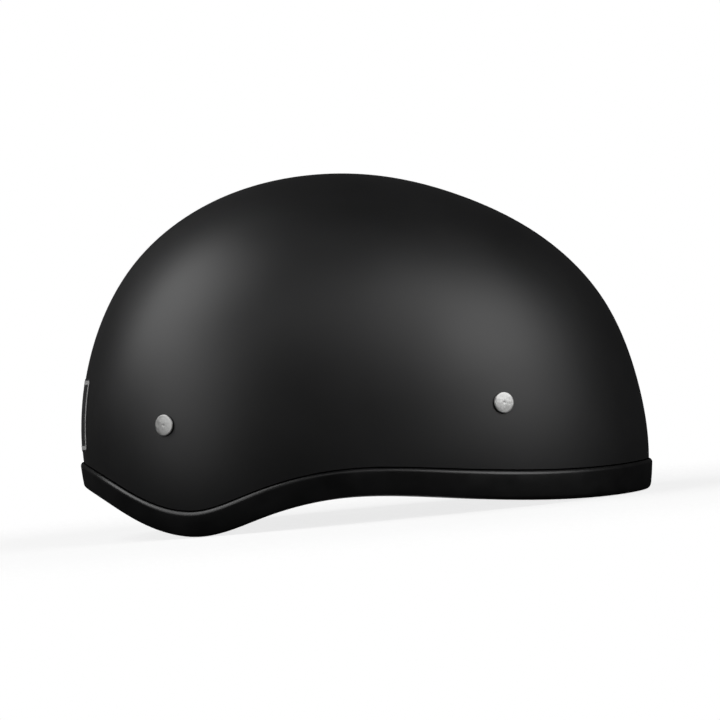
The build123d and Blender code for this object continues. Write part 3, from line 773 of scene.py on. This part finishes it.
# %% Copies by a node tree
class Copies(Nodes):
    """A geometry tree with named inputs that sets copies of a form."""

    def __init__(self, name, **inputs):
        super().__init__(bpy.data.node_groups.new(name, "GeometryNodeTree"), "")
        self.interface = self.tree.interface
        self.interface.new_socket("Geometry", in_out="INPUT", socket_type="NodeSocketGeometry")
        self.interface.new_socket("Geometry", in_out="OUTPUT", socket_type="NodeSocketGeometry")
        for label, kind in inputs.items():
            self.interface.new_socket(label, in_out="INPUT", socket_type="NodeSocket" + kind)
        self.given = self.node("NodeGroupInput").outputs

    def set_on(self, points, form, direction):
        """Ends the tree: copies on the points, along the direction, made real and painted."""
        turned = self.node("FunctionNodeAlignRotationToVector", axis="Z", Vector=direction)
        source = self.node("GeometryNodeObjectInfo", Object=self.given[form])
        placed = self.node(
            "GeometryNodeInstanceOnPoints",
            Points=points,
            Instance=source.outputs["Geometry"],
            Rotation=turned.outputs["Rotation"],
        )
        real = self.node("GeometryNodeRealizeInstances", Geometry=placed.outputs["Instances"])
        painted = self.node(
            "GeometryNodeSetMaterial", Geometry=real.outputs["Geometry"], Material=self.given["Material"]
        )
        self.node("NodeGroupOutput", Geometry=painted.outputs["Geometry"])

    def grown(self, carrier, values, name):
        """The plain mesh that the tree makes of a carrier, which is used up."""
        modifier = carrier.modifiers.new(self.tree.name, "NODES")
        modifier.node_group = self.tree
        for item in self.interface.items_tree:
            if item.in_out == "INPUT" and item.name in values:
                modifier[item.identifier] = values[item.name]
        carrier.update_tag()
        evaluated = carrier.evaluated_get(bpy.context.evaluated_depsgraph_get())
        mesh = bpy.data.meshes.new_from_object(evaluated)
        mesh.name = name
        carrier.modifiers.clear()
        bpy.data.objects.remove(carrier)
        return in_scene(name, mesh)


setting = Copies("set_rivets", Rivet="Object", Material="Material")
facing = setting.node("GeometryNodeInputNamedAttribute", data_type="FLOAT_VECTOR", Name="facing")
setting.set_on(setting.given["Geometry"], "Rivet", facing.outputs["Attribute"])
print("rivet tree", len(setting.tree.nodes), "nodes")

# %% [markdown]
# The rivets stand where the photograph shows them, square to the shell, and again on the far
# side. Each seat is a point that carries the direction its rivet faces.

# %% Rivets
rivet_places = [(64.2, 47.8), (-89.2, 52.0)]
rivet_points, rivet_normals = [], []
for side in (1, -1):
    for x, z in rivet_places:
        point = on_form([[x, 0.0, z]], [[0.0, 1.0, 0.0]])[0]
        rivet_points.append(point * (1, side, 1))
        rivet_normals.append(form_normals(point) * (1, side, 1))
seats = make_mesh("rivet_seats", rivet_points, [], rivet_metal.material)
facings = seats.data.attributes.new("facing", "FLOAT_VECTOR", "POINT")
facings.data.foreach_set("vector", np.array(rivet_normals, np.float32).ravel())
rivets = setting.grown(seats, {"Rivet": rivet_form, "Material": rivet_metal.material}, "shell_rivets")
bpy.data.objects.remove(rivet_form)
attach(rivets, "helmet")
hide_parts("strap_rivets")
print("rivets", len(rivets.data.polygons), "faces")

# %% [markdown]
# ## Label place
# Low on the nape the photograph shows a small bordered sticker, edge on. The part carries no
# print, so a blank vinyl patch with a raised light border takes its place. It is laid on the
# form as a thin sheet, a hair over the paint.

# %% Label
label_low, label_high, label_half_width = 42.7, 76.3, 35.0
label_corner, least_corner, corner_points, side_points = 2.8, 0.4, 9, 14
label_thickness, label_foot = 0.22, 0.02
border_inset, border_width, border_thickness = 0.9, 1.8, 0.1


def label_ring(inset, lift, share=1.0):
    """Points over the form round the label's outline, at an inset or shrunk to a share of it."""
    half_height = (label_high - label_low) / 2
    corner = max(least_corner, label_corner - inset)
    reach_y, reach_z = label_half_width - inset - corner, half_height - inset - corner
    bends = []
    for quarter, (side, rise) in enumerate(((1, 1), (-1, 1), (-1, -1), (1, -1))):
        start = 90 * quarter
        bend = arc(rise * reach_z, side * reach_y, corner, corner, start, start + 90, corner_points)
        bends.append(np.array(bend)[:, ::-1])
    ring = []
    for bend, after in zip(bends, bends[1:] + bends[:1]):
        ring += [*bend, *np.linspace(bend[-1], after[0], side_points)[1:-1]]
    y, z = np.array(ring).T * share
    origins = np.stack([0 * y, y, z + (label_high + label_low) / 2], axis=-1)
    seat = on_form(origins, np.tile([-1.0, 0, 0], (len(y), 1)))
    return seat + form_normals(seat) * lift


shares = [0.05, 0.2, 0.4, 0.6, 0.8, 0.92, 1.0]
sheet = [label_ring(0, label_thickness, share) for share in shares]
sheet += [label_ring(0, label_foot, share) for share in reversed(shares)]
columns = len(sheet[0])
sheet_faces = grid_faces(len(sheet), columns, close_columns=True)
sheet_faces += [list(range(columns)), list(range(columns * (len(sheet) - 1), columns * len(sheet)))]
label = outward(make_mesh("nape_patch", np.vstack(sheet), sheet_faces, vinyl.material))
foot, top = label_thickness - label_foot, label_thickness + border_thickness
inner_inset = border_inset + border_width
border = [
    label_ring(inset, lift)
    for inset, lift in ((border_inset, foot), (border_inset, top), (inner_inset, top), (inner_inset, foot))
]
border_faces = grid_faces(4, columns, close_rows=True, close_columns=True)
frame_line = outward(make_mesh("nape_patch_border", np.vstack(border), border_faces, border_ink.material))
for piece in (label, frame_line):
    mark_smooth_edges(piece, 30)
    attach(piece, "helmet")
print("label", len(label.data.polygons), "faces")

# %% [markdown]
# ## Webbing
# A strap is a flat band swept along a line: at each point it has a run, a direction across
# and a face. Its map holds the length along and the place across in millimetres, so that the
# weave follows every bend. A bevelled curve makes a band too, but picks its own twist, and
# webbing has to lie flat on what is behind it.

# %% Lines and tapes
webbing_width, webbing_thickness, edge_rounding = 20.0, 1.6, 0.48


def lengths_along(line):
    """How far along a line each of its points is."""
    return np.concatenate([[0], np.cumsum(np.linalg.norm(np.diff(line, axis=0), axis=1))])


def rounded(points, cut, step=1.6):
    """A line through points, its corners eased by a length cut, divided evenly."""
    points = [np.asarray(p, float) for p in points]
    line = [points[0]]
    for before, corner, after in zip(points, points[1:], points[2:]):
        a = corner + (before - corner) / np.linalg.norm(before - corner) * cut
        b = corner + (after - corner) / np.linalg.norm(after - corner) * cut
        for t in np.linspace(0, 1, 9):
            line.append((1 - t) ** 2 * a + 2 * t * (1 - t) * corner + t**2 * b)
    line.append(points[-1])
    line = np.array(line)
    line = line[np.concatenate([[True], np.diff(lengths_along(line)) > 1e-6])]
    places = lengths_along(line)
    count = max(2, int(round(places[-1] / step)) + 1)
    even = np.linspace(0, places[-1], count)
    return np.stack([np.interp(even, places, line[:, k]) for k in range(line.shape[1])], axis=-1)


def tape_section(width, thickness):
    """A band's cut face with rounded edges, as places across it and out of its face."""
    corner = edge_rounding * thickness
    flat, deep = width / 2 - corner, thickness / 2 - corner
    section = []
    for across, out, start in ((1, 1, 0), (-1, 1, 90), (-1, -1, 180), (1, -1, 270)):
        section += arc(out * deep, across * flat, corner, corner, start, start + 90, 4)
    return np.array(section)[:, ::-1]


def tape(name, middle, across, width=webbing_width, thickness=webbing_thickness):
    """A woven band along a middle line, with its map in millimetres."""
    middle = np.asarray(middle, float)
    across = np.broadcast_to(np.asarray(across, float), middle.shape)
    run = np.gradient(middle, axis=0)
    run /= np.linalg.norm(run, axis=-1, keepdims=True)
    side = across - run * np.sum(across * run, axis=-1, keepdims=True)
    side /= np.linalg.norm(side, axis=-1, keepdims=True)
    face = np.cross(run, side)
    section = tape_section(width, thickness)
    points = (
        middle[:, None]
        + side[:, None] * section[None, :, :1]
        + face[:, None] * section[None, :, 1:]
    ).reshape(-1, 3)
    size = len(section)
    faces = grid_faces(len(middle), size, close_columns=True)
    faces.append(list(range(size)))
    faces.append([(len(middle) - 1) * size + j for j in range(size)])
    piece = make_mesh(name, points, faces, webbing.material)
    weave = piece.data.uv_layers.new(name="weave")
    numbers = np.zeros(len(piece.data.loops), np.int32)
    piece.data.loops.foreach_get("vertex_index", numbers)
    places = lengths_along(middle)[numbers // size]
    mapped = np.stack([places, section[numbers % size, 0]], axis=-1)
    weave.data.foreach_set("uv", mapped.astype(np.float32).ravel())
    outward(piece, weld=False)
    mark_smooth_edges(piece, 60)
    return piece


def joined(pieces, name):
    """Several pieces as one mesh."""
    work = bmesh.new()
    for piece in pieces:
        work.from_mesh(piece.data)
    mesh = bpy.data.meshes.new(name)
    mesh.materials.append(webbing.material)
    work.to_mesh(mesh)
    work.free()
    for piece in pieces:
        bpy.data.objects.remove(piece)
    return in_scene(name, mesh)


# %% [markdown]
# ## The straps' own frame
# The left straps turn about the line where they come out under the liner. That line is a hinge
# of the frame, so its place and direction are read from there. The straps stand up from it,
# leaning ten degrees outwards, and the right side is the mirror of the left.

# %% Strap frame
joints = {joint["name"]: joint for joint in frame["record"]["behaviour"]["joints"]}
left_hinge = joints["left_yoke_swing"]
hinge_place = np.array(left_hinge["pos_m"]) / MM
hinge_axis = np.array(left_hinge["axis"])
strap_lean = math.radians(10.0)
strap_out = np.cross([0, 0, 1], hinge_axis)
strap_up = np.array([0, 0, 1]) * math.cos(strap_lean) + strap_out * math.sin(strap_lean)
strap_in = np.cross(hinge_axis, strap_up)


def in_straps(points, side):
    """Points given as along, up and into, turned into the helmet's frame on one side."""
    points = np.atleast_2d(np.asarray(points, float))
    placed = hinge_place + points @ np.array([hinge_axis, strap_up, strap_in])
    return placed * (1, side, 1)


def strap_across(line, side):
    """Directions across a band that lies flat in the straps' frame."""
    run = np.gradient(np.asarray(line, float), axis=0)
    flat = np.stack([run[:, 1], -run[:, 0], 0 * run[:, 0]], axis=-1)
    return (flat @ np.array([hinge_axis, strap_up, strap_in])) * (1, side, 1)


front_exit, rear_exit, apex = 46.0, -64.0, -4.0
root_height, root_inset = 19.06, 4.2
yoke_straight, yoke_top, apex_up = 10.0, 65.0, 55.0
side_words = {1: "left", -1: "right"}
print("straps come out at", [round(float(c), 1) for c in hinge_place])

# %% [markdown]
# ## Strap roots and yokes
# From each rivet the webbing runs down between shell and liner, turns in under the liner's edge and comes out
# beside the temple. Two such tapes meet in front of the ear and are sewn to one square tab. A short bend at
# each hinge joins root and yoke; it is baked where it lies and is not attached to a body.

# %% Roots and yokes
fold_reach, yoke_thickness, leg_offset = 1.3, 1.5, 0.3
root_ease, root_turn = 9.0, 1.5
bend_sag, bend_step, bend_slack = (0, 0.25, -0.1), 0.35, 0.3


def root_line(rivet_place, exit_x, end):
    """A root's middle line and its across directions: down the wall, then in under the liner."""
    wall = rounded(
        [rivet_place, (exit_x, root_height + yoke_straight), (exit_x, root_height + root_turn)], root_ease
    )
    seat = on_form(
        np.stack([wall[:, 0], 0 * wall[:, 0], wall[:, 1]], axis=-1),
        np.tile([0.0, 1.0, 0.0], (len(wall), 1)), root_inset,
    )
    across = np.cross(np.gradient(seat, axis=0), form_normals(seat, root_inset))
    across *= np.sign(across[:, :1])
    wall_side = seat[-1, 1]
    reach = np.linspace(root_turn, wall_side - end[1] - fold_reach, 24)
    level = root_height + webbing_thickness / 2
    under = np.stack([0 * reach + exit_x, wall_side - reach, 0 * reach + level], axis=-1)
    return np.vstack([seat, under]), np.vstack([across, np.tile([1.0, 0, 0], (len(under), 1))])


for side, word in side_words.items():
    roots, bends, legs = [], [], []
    for rivet_place, exit_x, shift in zip(rivet_places, (front_exit, rear_exit), (leg_offset, -leg_offset)):
        along = (exit_x - apex) / hinge_axis[0]
        end = in_straps([[along, 0, 0]], 1)[0]
        line, across = root_line(rivet_place, exit_x, end)
        roots.append(tape("root", line * (1, side, 1), across * (1, side, 1)))
        curl = rounded([line[-1], end + bend_sag, end + strap_up * fold_reach], 1.0, bend_step)
        bends.append(tape("bend", curl * (1, side, 1), (1, 0, 0), width=webbing_width - bend_slack))
        bent = [(along, yoke_straight, shift), (0, apex_up, shift), (0, yoke_top, shift)]
        leg = rounded([(along, fold_reach, 0), *bent], root_ease)
        leg_across = strap_across(leg, side)
        legs.append(tape("leg", in_straps(leg, side), leg_across, thickness=yoke_thickness))
    root = joined(roots, word + "_webbing_roots")
    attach(root, "helmet")
    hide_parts(word + "_strap_roots")
    yoke = joined(legs, word + "_webbing_yoke")
    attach(yoke, word + "_yoke")
    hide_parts(word + "_strap_yoke")
    bend = joined(bends, word + "_webbing_bends")
    high = (hinge_place + strap_up * fold_reach) * (1, side, 1) * MM
    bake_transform(bend)
    print(word, "root", len(root.data.polygons), "yoke", len(yoke.data.polygons))

# %% [markdown]
# ## Chin straps
# The short strap on the left is folded over the straight bars of two D-rings and sewn back to
# itself, so its middle line is a teardrop round both bars. The long strap on the right is put
# away in three lengths, one over another. Lines are pairs of how far into the helmet and how
# high they lie in the straps' frame.

# %% Chin straps
chin_into, return_into, tail_into = 2.2, 5.2, 9.4
fold_low, fold_high, tail_low = -6.0, 50.0, 4.0
strap_top, low_end, high_end = yoke_top - 1.0, fold_low + 1.5, fold_high - 2.1
loop_line = [
    (2.15, strap_top), (2.15, 50.0), (2.15, 36.0), (2.15, 25.0), (1.3, 18.5), (-0.5, 13.8),
    (-1.15, 10.8), (-0.4, 8.4), (1.4, 7.4), (3.0, 7.25), (4.6, 7.4), (6.4, 8.4), (7.15, 10.8),
    (6.5, 13.8), (4.7, 18.5), (3.85, 25.0), (3.85, 30.0), (3.85, 35.7),
]
chin_line = [(chin_into, low_end), (chin_into, strap_top)]
return_line = [(return_into, low_end), (return_into, high_end)]
tail_line = [(tail_into, tail_low), (tail_into, high_end)]
for body, side, line, node in (
    ("left_chin", 1, smooth_curve(loop_line, False, 150), "left_chin_strap"),
    ("right_chin", -1, rounded(chin_line, 1.0), "right_chin_strap"),
    ("right_return", -1, rounded(return_line, 1.0), "right_strap_return"),
    ("right_tail", -1, rounded(tail_line, 1.0), "right_strap_tail"),
):
    middle = in_straps([(0.0, up, into) for into, up in line], side)
    piece = tape(body + "_webbing", middle, hinge_axis * (1, side, 1))
    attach(piece, body)
    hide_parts(node)
print("chin straps made")

# %% [markdown]
# Where one length turns into the next there is a short half round bend. It is baked where it lies in the
# helmet's frame and is not attached to the lengths beside it. Each overlaps its lengths a little, and is a
# little narrower, so that no two faces lie in one place.

# %% Folds
fold_slack, fold_turns = 0.2, np.linspace(0, math.pi, 15)
top_level, low_level, high_level = yoke_top - 1.2, fold_low + 1.6, fold_high - 2.2
for name, side, near, far, level, outward_by, bodies in (
    ("left_top_fold", 1, 0.0, chin_into, top_level, 1, ("left_yoke", "left_chin")),
    ("right_top_fold", -1, 0.0, chin_into, top_level, 1, ("right_yoke", "right_chin")),
    ("right_low_fold", -1, chin_into, return_into, low_level, -1, ("right_chin", "right_return")),
    ("right_high_fold", -1, return_into, tail_into, high_level, 1, ("right_return", "right_tail")),
):
    middle, half = (near + far) / 2, (far - near) / 2
    line = [
        (0.0, level + outward_by * (1 + half * math.sin(t)), middle - half * math.cos(t))
        for t in fold_turns
    ]
    line = in_straps([(0.0, level, near), *line, (0.0, level, far)], side)
    piece = tape(name, line, hinge_axis * (1, side, 1), webbing_width - fold_slack)
    start = in_straps([[0, level, near + 0.3 * half]], side)[0] * MM
    end = in_straps([[0, level, far - 0.3 * half]], side)[0] * MM
    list(bodies)
    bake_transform(piece)
    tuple(end)
print("four folds made")

# %% [markdown]
# ## Sewn stitches
# Thick thread holds the webbing where two layers meet: a square with a cross on each tab, and
# bars across the folded ends. A node tree walks along drawn lines and lays one small stitch
# after another, so a longer line simply gets more stitches.

# %% Stitch and sewing tree
stitch_pitch, stitch_length, thread_radius = 2.6, 2.0, 0.27
stitch_profile = [
    (share * thread_radius, height * stitch_length)
    for height, share in ((-0.5, 0), (-0.35, 0.75), (-0.15, 1.0), (0.15, 1.0), (0.35, 0.75), (0.5, 0))
]
stitch_form = spun("stitch_form", stitch_profile, 6, thread.material)

sewing = Copies("sew_lines", Stitch="Object", Pitch="Float", Material="Material")
drawn = sewing.node("GeometryNodeMeshToCurve", Mesh=sewing.given["Geometry"])
divided = sewing.node(
    "GeometryNodeResampleCurve",
    mode="LENGTH", Curve=drawn.outputs["Curve"], Length=sewing.given["Pitch"],
)
tangent = sewing.node("GeometryNodeInputTangent")
sewing.set_on(divided.outputs["Curve"], "Stitch", tangent.outputs["Tangent"])


def sew(name, lines, body, pitch=stitch_pitch):
    """Stitches along drawn lines, each a list of points in millimetres."""
    points, edges = [], []
    for line in lines:
        first = len(points)
        points += [tuple(p) for p in line]
        edges += [(first + k, first + k + 1) for k in range(len(line) - 1)]
    mesh = bpy.data.meshes.new(name + "_lines")
    mesh.from_pydata([tuple(c * MM for c in p) for p in points], edges, [])
    values = {"Stitch": stitch_form, "Pitch": pitch * MM, "Material": thread.material}
    piece = sewing.grown(in_scene(name + "_lines", mesh), values, name)
    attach(piece, body)
    return piece


print("sewing tree", len(sewing.tree.nodes), "nodes")

# %% [markdown]
# The lines are drawn in the straps' own frame, just over the face of the webbing, so that each
# stitch sinks in by half its thickness.

# %% Strap stitches
box_half, over_yoke, over_loop, over_hem = 7.5, 1.12, 0.83, 0.82
tab_low, tab_high = yoke_top - 17.0, yoke_top - 3.5
loop_front, loop_back, loop_low, loop_high = 3.85, 2.15, 21.5, 33.5
hem_half, hem_rows, hem_pitch = 8.5, (tail_low + 1.6, tail_low + 2.9), 1.6


def boxed_cross(low, high, into, side):
    """A sewn square with a cross in it, on a strap's face."""
    near, far = -box_half, box_half
    a, b, c, d = (near, low, into), (far, low, into), (far, high, into), (near, high, into)
    return [in_straps(run, side) for run in ([a, b, c, d, a], [a, c], [b, d])]


for side, word in side_words.items():
    lines = boxed_cross(tab_low, tab_high, over_yoke, side) + boxed_cross(tab_low, tab_high, -over_yoke, side)
    sew(word + "_tab_stitches", lines, word + "_yoke")
lines = boxed_cross(loop_low, loop_high, loop_front + over_loop, 1)
lines += boxed_cross(loop_low, loop_high, loop_back - over_loop, 1)
sew("left_chin_stitches", lines, "left_chin")
lines = [
    in_straps([(-hem_half, up, into), (hem_half, up, into)], -1)
    for up in hem_rows
    for into in (tail_into - over_hem, tail_into + over_hem)
]
tail_stitches = sew("tail_hem_stitches", lines, "right_tail", pitch=hem_pitch)
print("stitches", len(tail_stitches.data.polygons), "faces in the hem")

# %% [markdown]
# ## Comfort pads
# Five pads of foam in brushed knit sit on the liner. Each starts as a thin closed skin: its
# back lies on the liner, its edges are drawn in, and sewn channels cross it. A short cloth
# simulation then blows the free skin up between the seams, as foam pushes out its cover. Seams
# and back are pinned, and the travel is capped so that the pads keep clear of the straps.

# %% Pad values
pad_back, pad_face, pad_rise, pad_height = 24.0, 29.9, 8.9, 36.0
pad_edge, pad_clearance, pad_spacing = 1.5, 1.1, 6.0
pad_swell = pad_face - pad_back - pad_edge - pad_clearance
brow_half_angle, nape_half_angle = 46.0, 44.0
# The middle width is that of the painted shade in the bottom of a channel.
channel_width, channel_shade_width, channel_press = 2.6, 1.6, 0.9
slope_step, pad_search = 0.27, (200.0, 36)


def line_above_edge(rise):
    """Places and heights of the curve set back from the shell's edge in the side view."""
    line = []
    for share, z in zip(edge_shares, edge_heights):
        x = share * half_length
        slope = (edge_height(x + slope_step) - edge_height(x - slope_step)) / (2 * slope_step)
        size = math.hypot(slope, 1)
        line.append((x - rise * slope / size, z + rise / size))
    return smooth_curve(line, False, 800)


def on_line(turns, line):
    """Points on the liner where a side-view curve passes, at angles in plan."""
    return round_plan(turns, lambda x: np.interp(x, line[:, 0], line[:, 1]), pad_back, *pad_search)


pad_floor, pad_roof = line_above_edge(pad_rise), line_above_edge(pad_rise + pad_height)
print("pads swell up to", round(pad_swell, 1), "mm over their edges")

# %% [markdown]
# A pad's skin is a grid of points on the liner and a second one in front of it, joined round the border. A
# channel is where the front stays close to the back, and where the knit is painted darker as shade in the
# crease.

# %% Pad skins
seams = []


def sewn(full, dark, away):
    """Fullness and painted shade of a skin after one more channel, from the distances to it."""
    left = 1 - channel_press * np.exp(-((away / channel_width) ** 2))
    return full * left, np.maximum(dark, np.exp(-((away / channel_shade_width) ** 2)))


def pad_skin(name, backs, normals, full, pinned, dark):
    """A closed skin from a grid on the liner. Its free side rises to the pads' inner face."""
    rows, columns = backs.shape[:2]
    count = rows * columns
    fronts = backs - normals * (pad_edge + pad_swell * full)[..., None]
    faces = grid_faces(rows, columns)
    faces += [[count + n for n in reversed(face)] for face in grid_faces(rows, columns)]
    border = [(0, j) for j in range(columns)]
    border += [(i, columns - 1) for i in range(1, rows)]
    border += [(rows - 1, j) for j in range(columns - 2, -1, -1)]
    border += [(i, 0) for i in range(rows - 2, 0, -1)]
    numbers = [i * columns + j for i, j in border]
    for a, b in zip(numbers, numbers[1:] + numbers[:1]):
        faces.append([a, b, count + b, count + a])
    points = np.vstack([fronts.reshape(-1, 3), backs.reshape(-1, 3)])
    piece = outward(make_mesh(name, points, faces, knit.material), weld=False)
    # The front points carry the painted shade of the channels, which darkens the knit; the back points carry
    # none.
    painted_channel_shade = piece.data.attributes.new("channel", "FLOAT", "POINT")
    painted_channel_shade.data.foreach_set("value", np.append(dark.ravel(), np.zeros(count)).astype(np.float32))
    pinned[[0, -1]] = True
    pinned[:, [0, -1]] = True
    held = np.append(pinned.ravel(), np.ones(count, bool))
    piece.vertex_groups.new(name="held").add(np.nonzero(held)[0].tolist(), 1.0, "REPLACE")
    return piece


print("a channel leaves", round(1 - channel_press, 2), "of the swell")

# %% [markdown]
# Four pads stand in a ring. Their lower edge follows the rim and is lifted where the webbing
# comes out, their corners are rounded, and upright channels divide them.

# %% Pads of the ring
ring_rows, cell_size = 19, 2.3
gap_radius, middle_radius, face_radius = 84.0, 82.0, 80.0
corner_radius, corner_pull, end_fade, ring_pin, seam_reach = 7.0, 0.8, 9.0, 1.3, 0.86
exit_clearance, exit_half_width, exit_ease, side_from = 1.2, 12.5, 4.0, 0.3


def over_exits(turns, foot):
    """Heights of a pad's lower edge, lifted at the sides where the webbing comes out."""
    low = foot[:, 2]
    top = root_height + webbing_thickness + exit_clearance
    for exit_x in (front_exit, rear_exit):
        near = np.clip((np.abs(foot[:, 0] - exit_x) - exit_half_width) / exit_ease, 0, 1)
        lifted = np.where(np.abs(np.sin(turns)) > side_from, top, 0.0)
        low = np.maximum(low, (1 - near * near * (3 - 2 * near)) * lifted)
    return low


def ring_pad(name, start, end, channels):
    """A pad of the ring between two angles in plan, with upright sewn channels."""
    reach = math.radians(end - start) / 2
    share = np.linspace(-1, 1, max(24, int(reach * 2 * middle_radius / cell_size)))
    half = reach - math.asin(pad_spacing / 2 / gap_radius)
    turns = math.radians((start + end) / 2) + share * half
    low, high = over_exits(turns, on_line(turns, pad_floor)), on_line(turns, pad_roof)[:, 2]
    distance = (1 - np.abs(share)) * half * face_radius
    cut = np.clip(corner_radius - distance, 0, corner_radius)
    pull = corner_radius - np.sqrt(np.clip(corner_radius**2 - cut**2, 0, None))
    low, high = low + corner_pull * pull, high - corner_pull * pull
    level = np.linspace(0, 1, ring_rows)[:, None]
    heights = low + level * (high - low)
    backs = round_plan(np.broadcast_to(turns, heights.shape), lambda x: heights, pad_back, *pad_search)
    normals = form_normals(backs, pad_back)
    off_middle = np.abs(2 * level - 1)
    fade = np.clip(distance / end_fade, 0, 1)
    full = np.sqrt(np.clip(1 - off_middle**5, 0, 1)) * np.sqrt(np.clip(1 - (1 - fade) ** 2, 0, 1))
    pinned, dark = np.zeros(heights.shape, bool), np.zeros(heights.shape)
    for place in channels:
        column = int(np.argmin(np.abs(share - place)))
        away = np.abs(share - share[column]) * half * face_radius
        full, dark = sewn(full, dark, away)
        pinned |= (away < ring_pin) & (off_middle < seam_reach)
        rise = pad_edge + pad_swell * full[2:-2, column, None]
        seams.append(backs[2:-2, column] - normals[2:-2, column] * rise)
    return pad_skin(name, backs, normals, full, pinned, dark)


temple_end = 180 - nape_half_angle
long_channels, temple_channels = (-0.62, -0.21, 0.21, 0.62), (-0.5, 0.0, 0.5)
cushions = {
    word + "_pad": ring_pad(word + "_cushion", start, end, channels)
    for word, start, end, channels in (
        ("brow", -brow_half_angle, brow_half_angle, long_channels),
        ("nape", temple_end, 360 - temple_end, long_channels),
        ("left_temple", brow_half_angle, temple_end, temple_channels),
        ("right_temple", 360 - temple_end, 360 - brow_half_angle, temple_channels),
    )
}
print("ring pads", len(cushions))

# %% [markdown]
# The crown pad is an oval with one ring channel and six spokes. Its grid is a square pulled to
# an oval, so it has no pole where faces would crowd.

# %% Crown pad
crown_centre, crown_half_length, crown_half_width, crown_grid = -14.0, 64.0, 48.0, 47
crown_ring, crown_mean_radius, crown_pin = 0.46, 55.0, 1.2
spoke_half_angle, spoke_pin_end, spoke_seam = 0.6, 0.93, np.linspace(0.5, 0.92, 12)


def on_crown(x, y):
    """Points on the liner over places in the crown pad's own oval."""
    flat = np.stack(
        [crown_centre + crown_half_length * x, crown_half_width * y, np.full(np.shape(x), widest_height)],
        axis=-1,
    )
    return on_form(flat, np.broadcast_to(np.array([0.0, 0.0, 1.0]), flat.shape), pad_back)


def crown_seam(radii, turns):
    """A line in the bottom of a channel, from shares of the oval's radius and angles."""
    seat = on_crown(radii * np.cos(turns), radii * np.sin(turns))
    return seat - form_normals(seat, pad_back) * (pad_edge + (1 - channel_press) * pad_swell)


u, v = np.meshgrid(np.linspace(-1, 1, crown_grid), np.linspace(-1, 1, crown_grid))
x, y = u * np.sqrt(1 - v * v / 2), v * np.sqrt(1 - u * u / 2)
backs = on_crown(x, y)
radius = np.hypot(x, y)
turn = np.arctan2(crown_half_width * y, crown_half_length * x)
from_centre = np.hypot(crown_half_length * x, crown_half_width * y)
away = np.abs(radius - crown_ring) * crown_mean_radius
full, dark = sewn(np.sqrt(np.clip(1 - radius**8, 0, 1)), np.zeros(x.shape), away)
pinned = away < crown_pin
for spoke in np.radians([30, 90, 150, 210, 270, 330]):
    gap = (turn - spoke + math.pi) % math.tau - math.pi
    beside = (np.abs(gap) < spoke_half_angle) & (radius > crown_ring)
    away = np.where(beside, np.abs(np.sin(gap)) * from_centre, np.inf)
    full, dark = sewn(full, dark, away)
    pinned |= (away < crown_pin) & (radius < spoke_pin_end)
    seams.append(crown_seam(spoke_seam, spoke))
seams.append(crown_seam(crown_ring, np.linspace(0, math.tau, 60)))
normals = form_normals(backs, pad_back)
cushions["crown_pad"] = pad_skin("crown_cushion", backs, normals, full, pinned, dark)
print("seam lines", len(seams))

# %% [markdown]
# All five skins are blown up in one run of twenty frames. The result is read back, its travel
# is cut to a cap of one and a half millimetres, and the Cloth modifier is taken off again.

# %% Cloth simulation
puff_frames, puff_cap = 20, 1.5
puff_settings = {
    "quality": 6, "vertex_group_mass": "held", "use_pressure": True, "uniform_pressure_force": 4.0,
    "tension_stiffness": 8, "compression_stiffness": 8, "shear_stiffness": 4,
    "bending_stiffness": 0.05, "shrink_min": -0.04,
}
for cushion in cushions.values():
    cloth = cushion.modifiers.new("puff", "CLOTH")
    for key, value in puff_settings.items():
        setattr(cloth.settings, key, value)
    cloth.settings.effector_weights.gravity = 0
    cloth.collision_settings.use_collision = False
    cloth.point_cache.frame_start = 1
    cloth.point_cache.frame_end = puff_frames
for number in range(1, puff_frames + 1):
    bpy.context.scene.frame_set(number)
graph = bpy.context.evaluated_depsgraph_get()
for cushion in cushions.values():
    puffed = cushion.evaluated_get(graph).to_mesh()
    ends = np.empty(len(puffed.vertices) * 3)
    puffed.vertices.foreach_get("co", ends)
    starts = np.empty(len(ends))
    cushion.data.vertices.foreach_get("co", starts)
    travel = (ends - starts).reshape(-1, 3)
    size = np.linalg.norm(travel, axis=-1, keepdims=True)
    travel *= np.minimum(1, puff_cap * MM / np.maximum(size, 1e-9))
    cushion.modifiers.clear()
    cushion.data.vertices.foreach_set("co", starts + travel.ravel())
    cushion.data.update()
    print(cushion.name, "moved up to", round(float(size.max() / MM), 2), "mm before the cap")
bpy.context.scene.frame_set(1)

for node, cushion in cushions.items():
    cushion.vertex_groups.clear()
    finer = cushion.modifiers.new("finer", "SUBSURF")
    finer.levels = finer.render_levels = 1
    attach(cushion, "helmet")
    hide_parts(node)

# %% [markdown]
# ## Stitches in the pads
# A row of thread lies at the bottom of each channel, where it pulls the knit down. The same
# node tree sews it, along lines that were kept while the channels were pressed in.

# %% Pad stitches
pad_pitch = 2.9
pad_stitches = sew("pad_stitches", seams, "helmet", pitch=pad_pitch)
bpy.data.objects.remove(stitch_form)
print("pad stitches", len(pad_stitches.data.polygons), "faces")

# %% [markdown]
# ## Materials of the solids that stay
# The liner, plates, rings and snap parts are right as CAD solids, so they only get a finish.

# %% Finish
looks = {
    "shell_black": paint, "trim_rubber": rubber, "liner_foam": foam, "pad_fabric": knit,
    "rivet_metal": rivet_metal, "plate_steel": plate_metal, "webbing": webbing,
    "ring_steel": ring_metal, "snap_metal": snap_metal,
}
slots = {part["node"]: part["material_slot"] for part in frame["record"]["subparts"]}
for name, node in frame["nodes"].items():
    node.data.materials.clear()
    node.data.materials.append(looks[slots[name]].material)
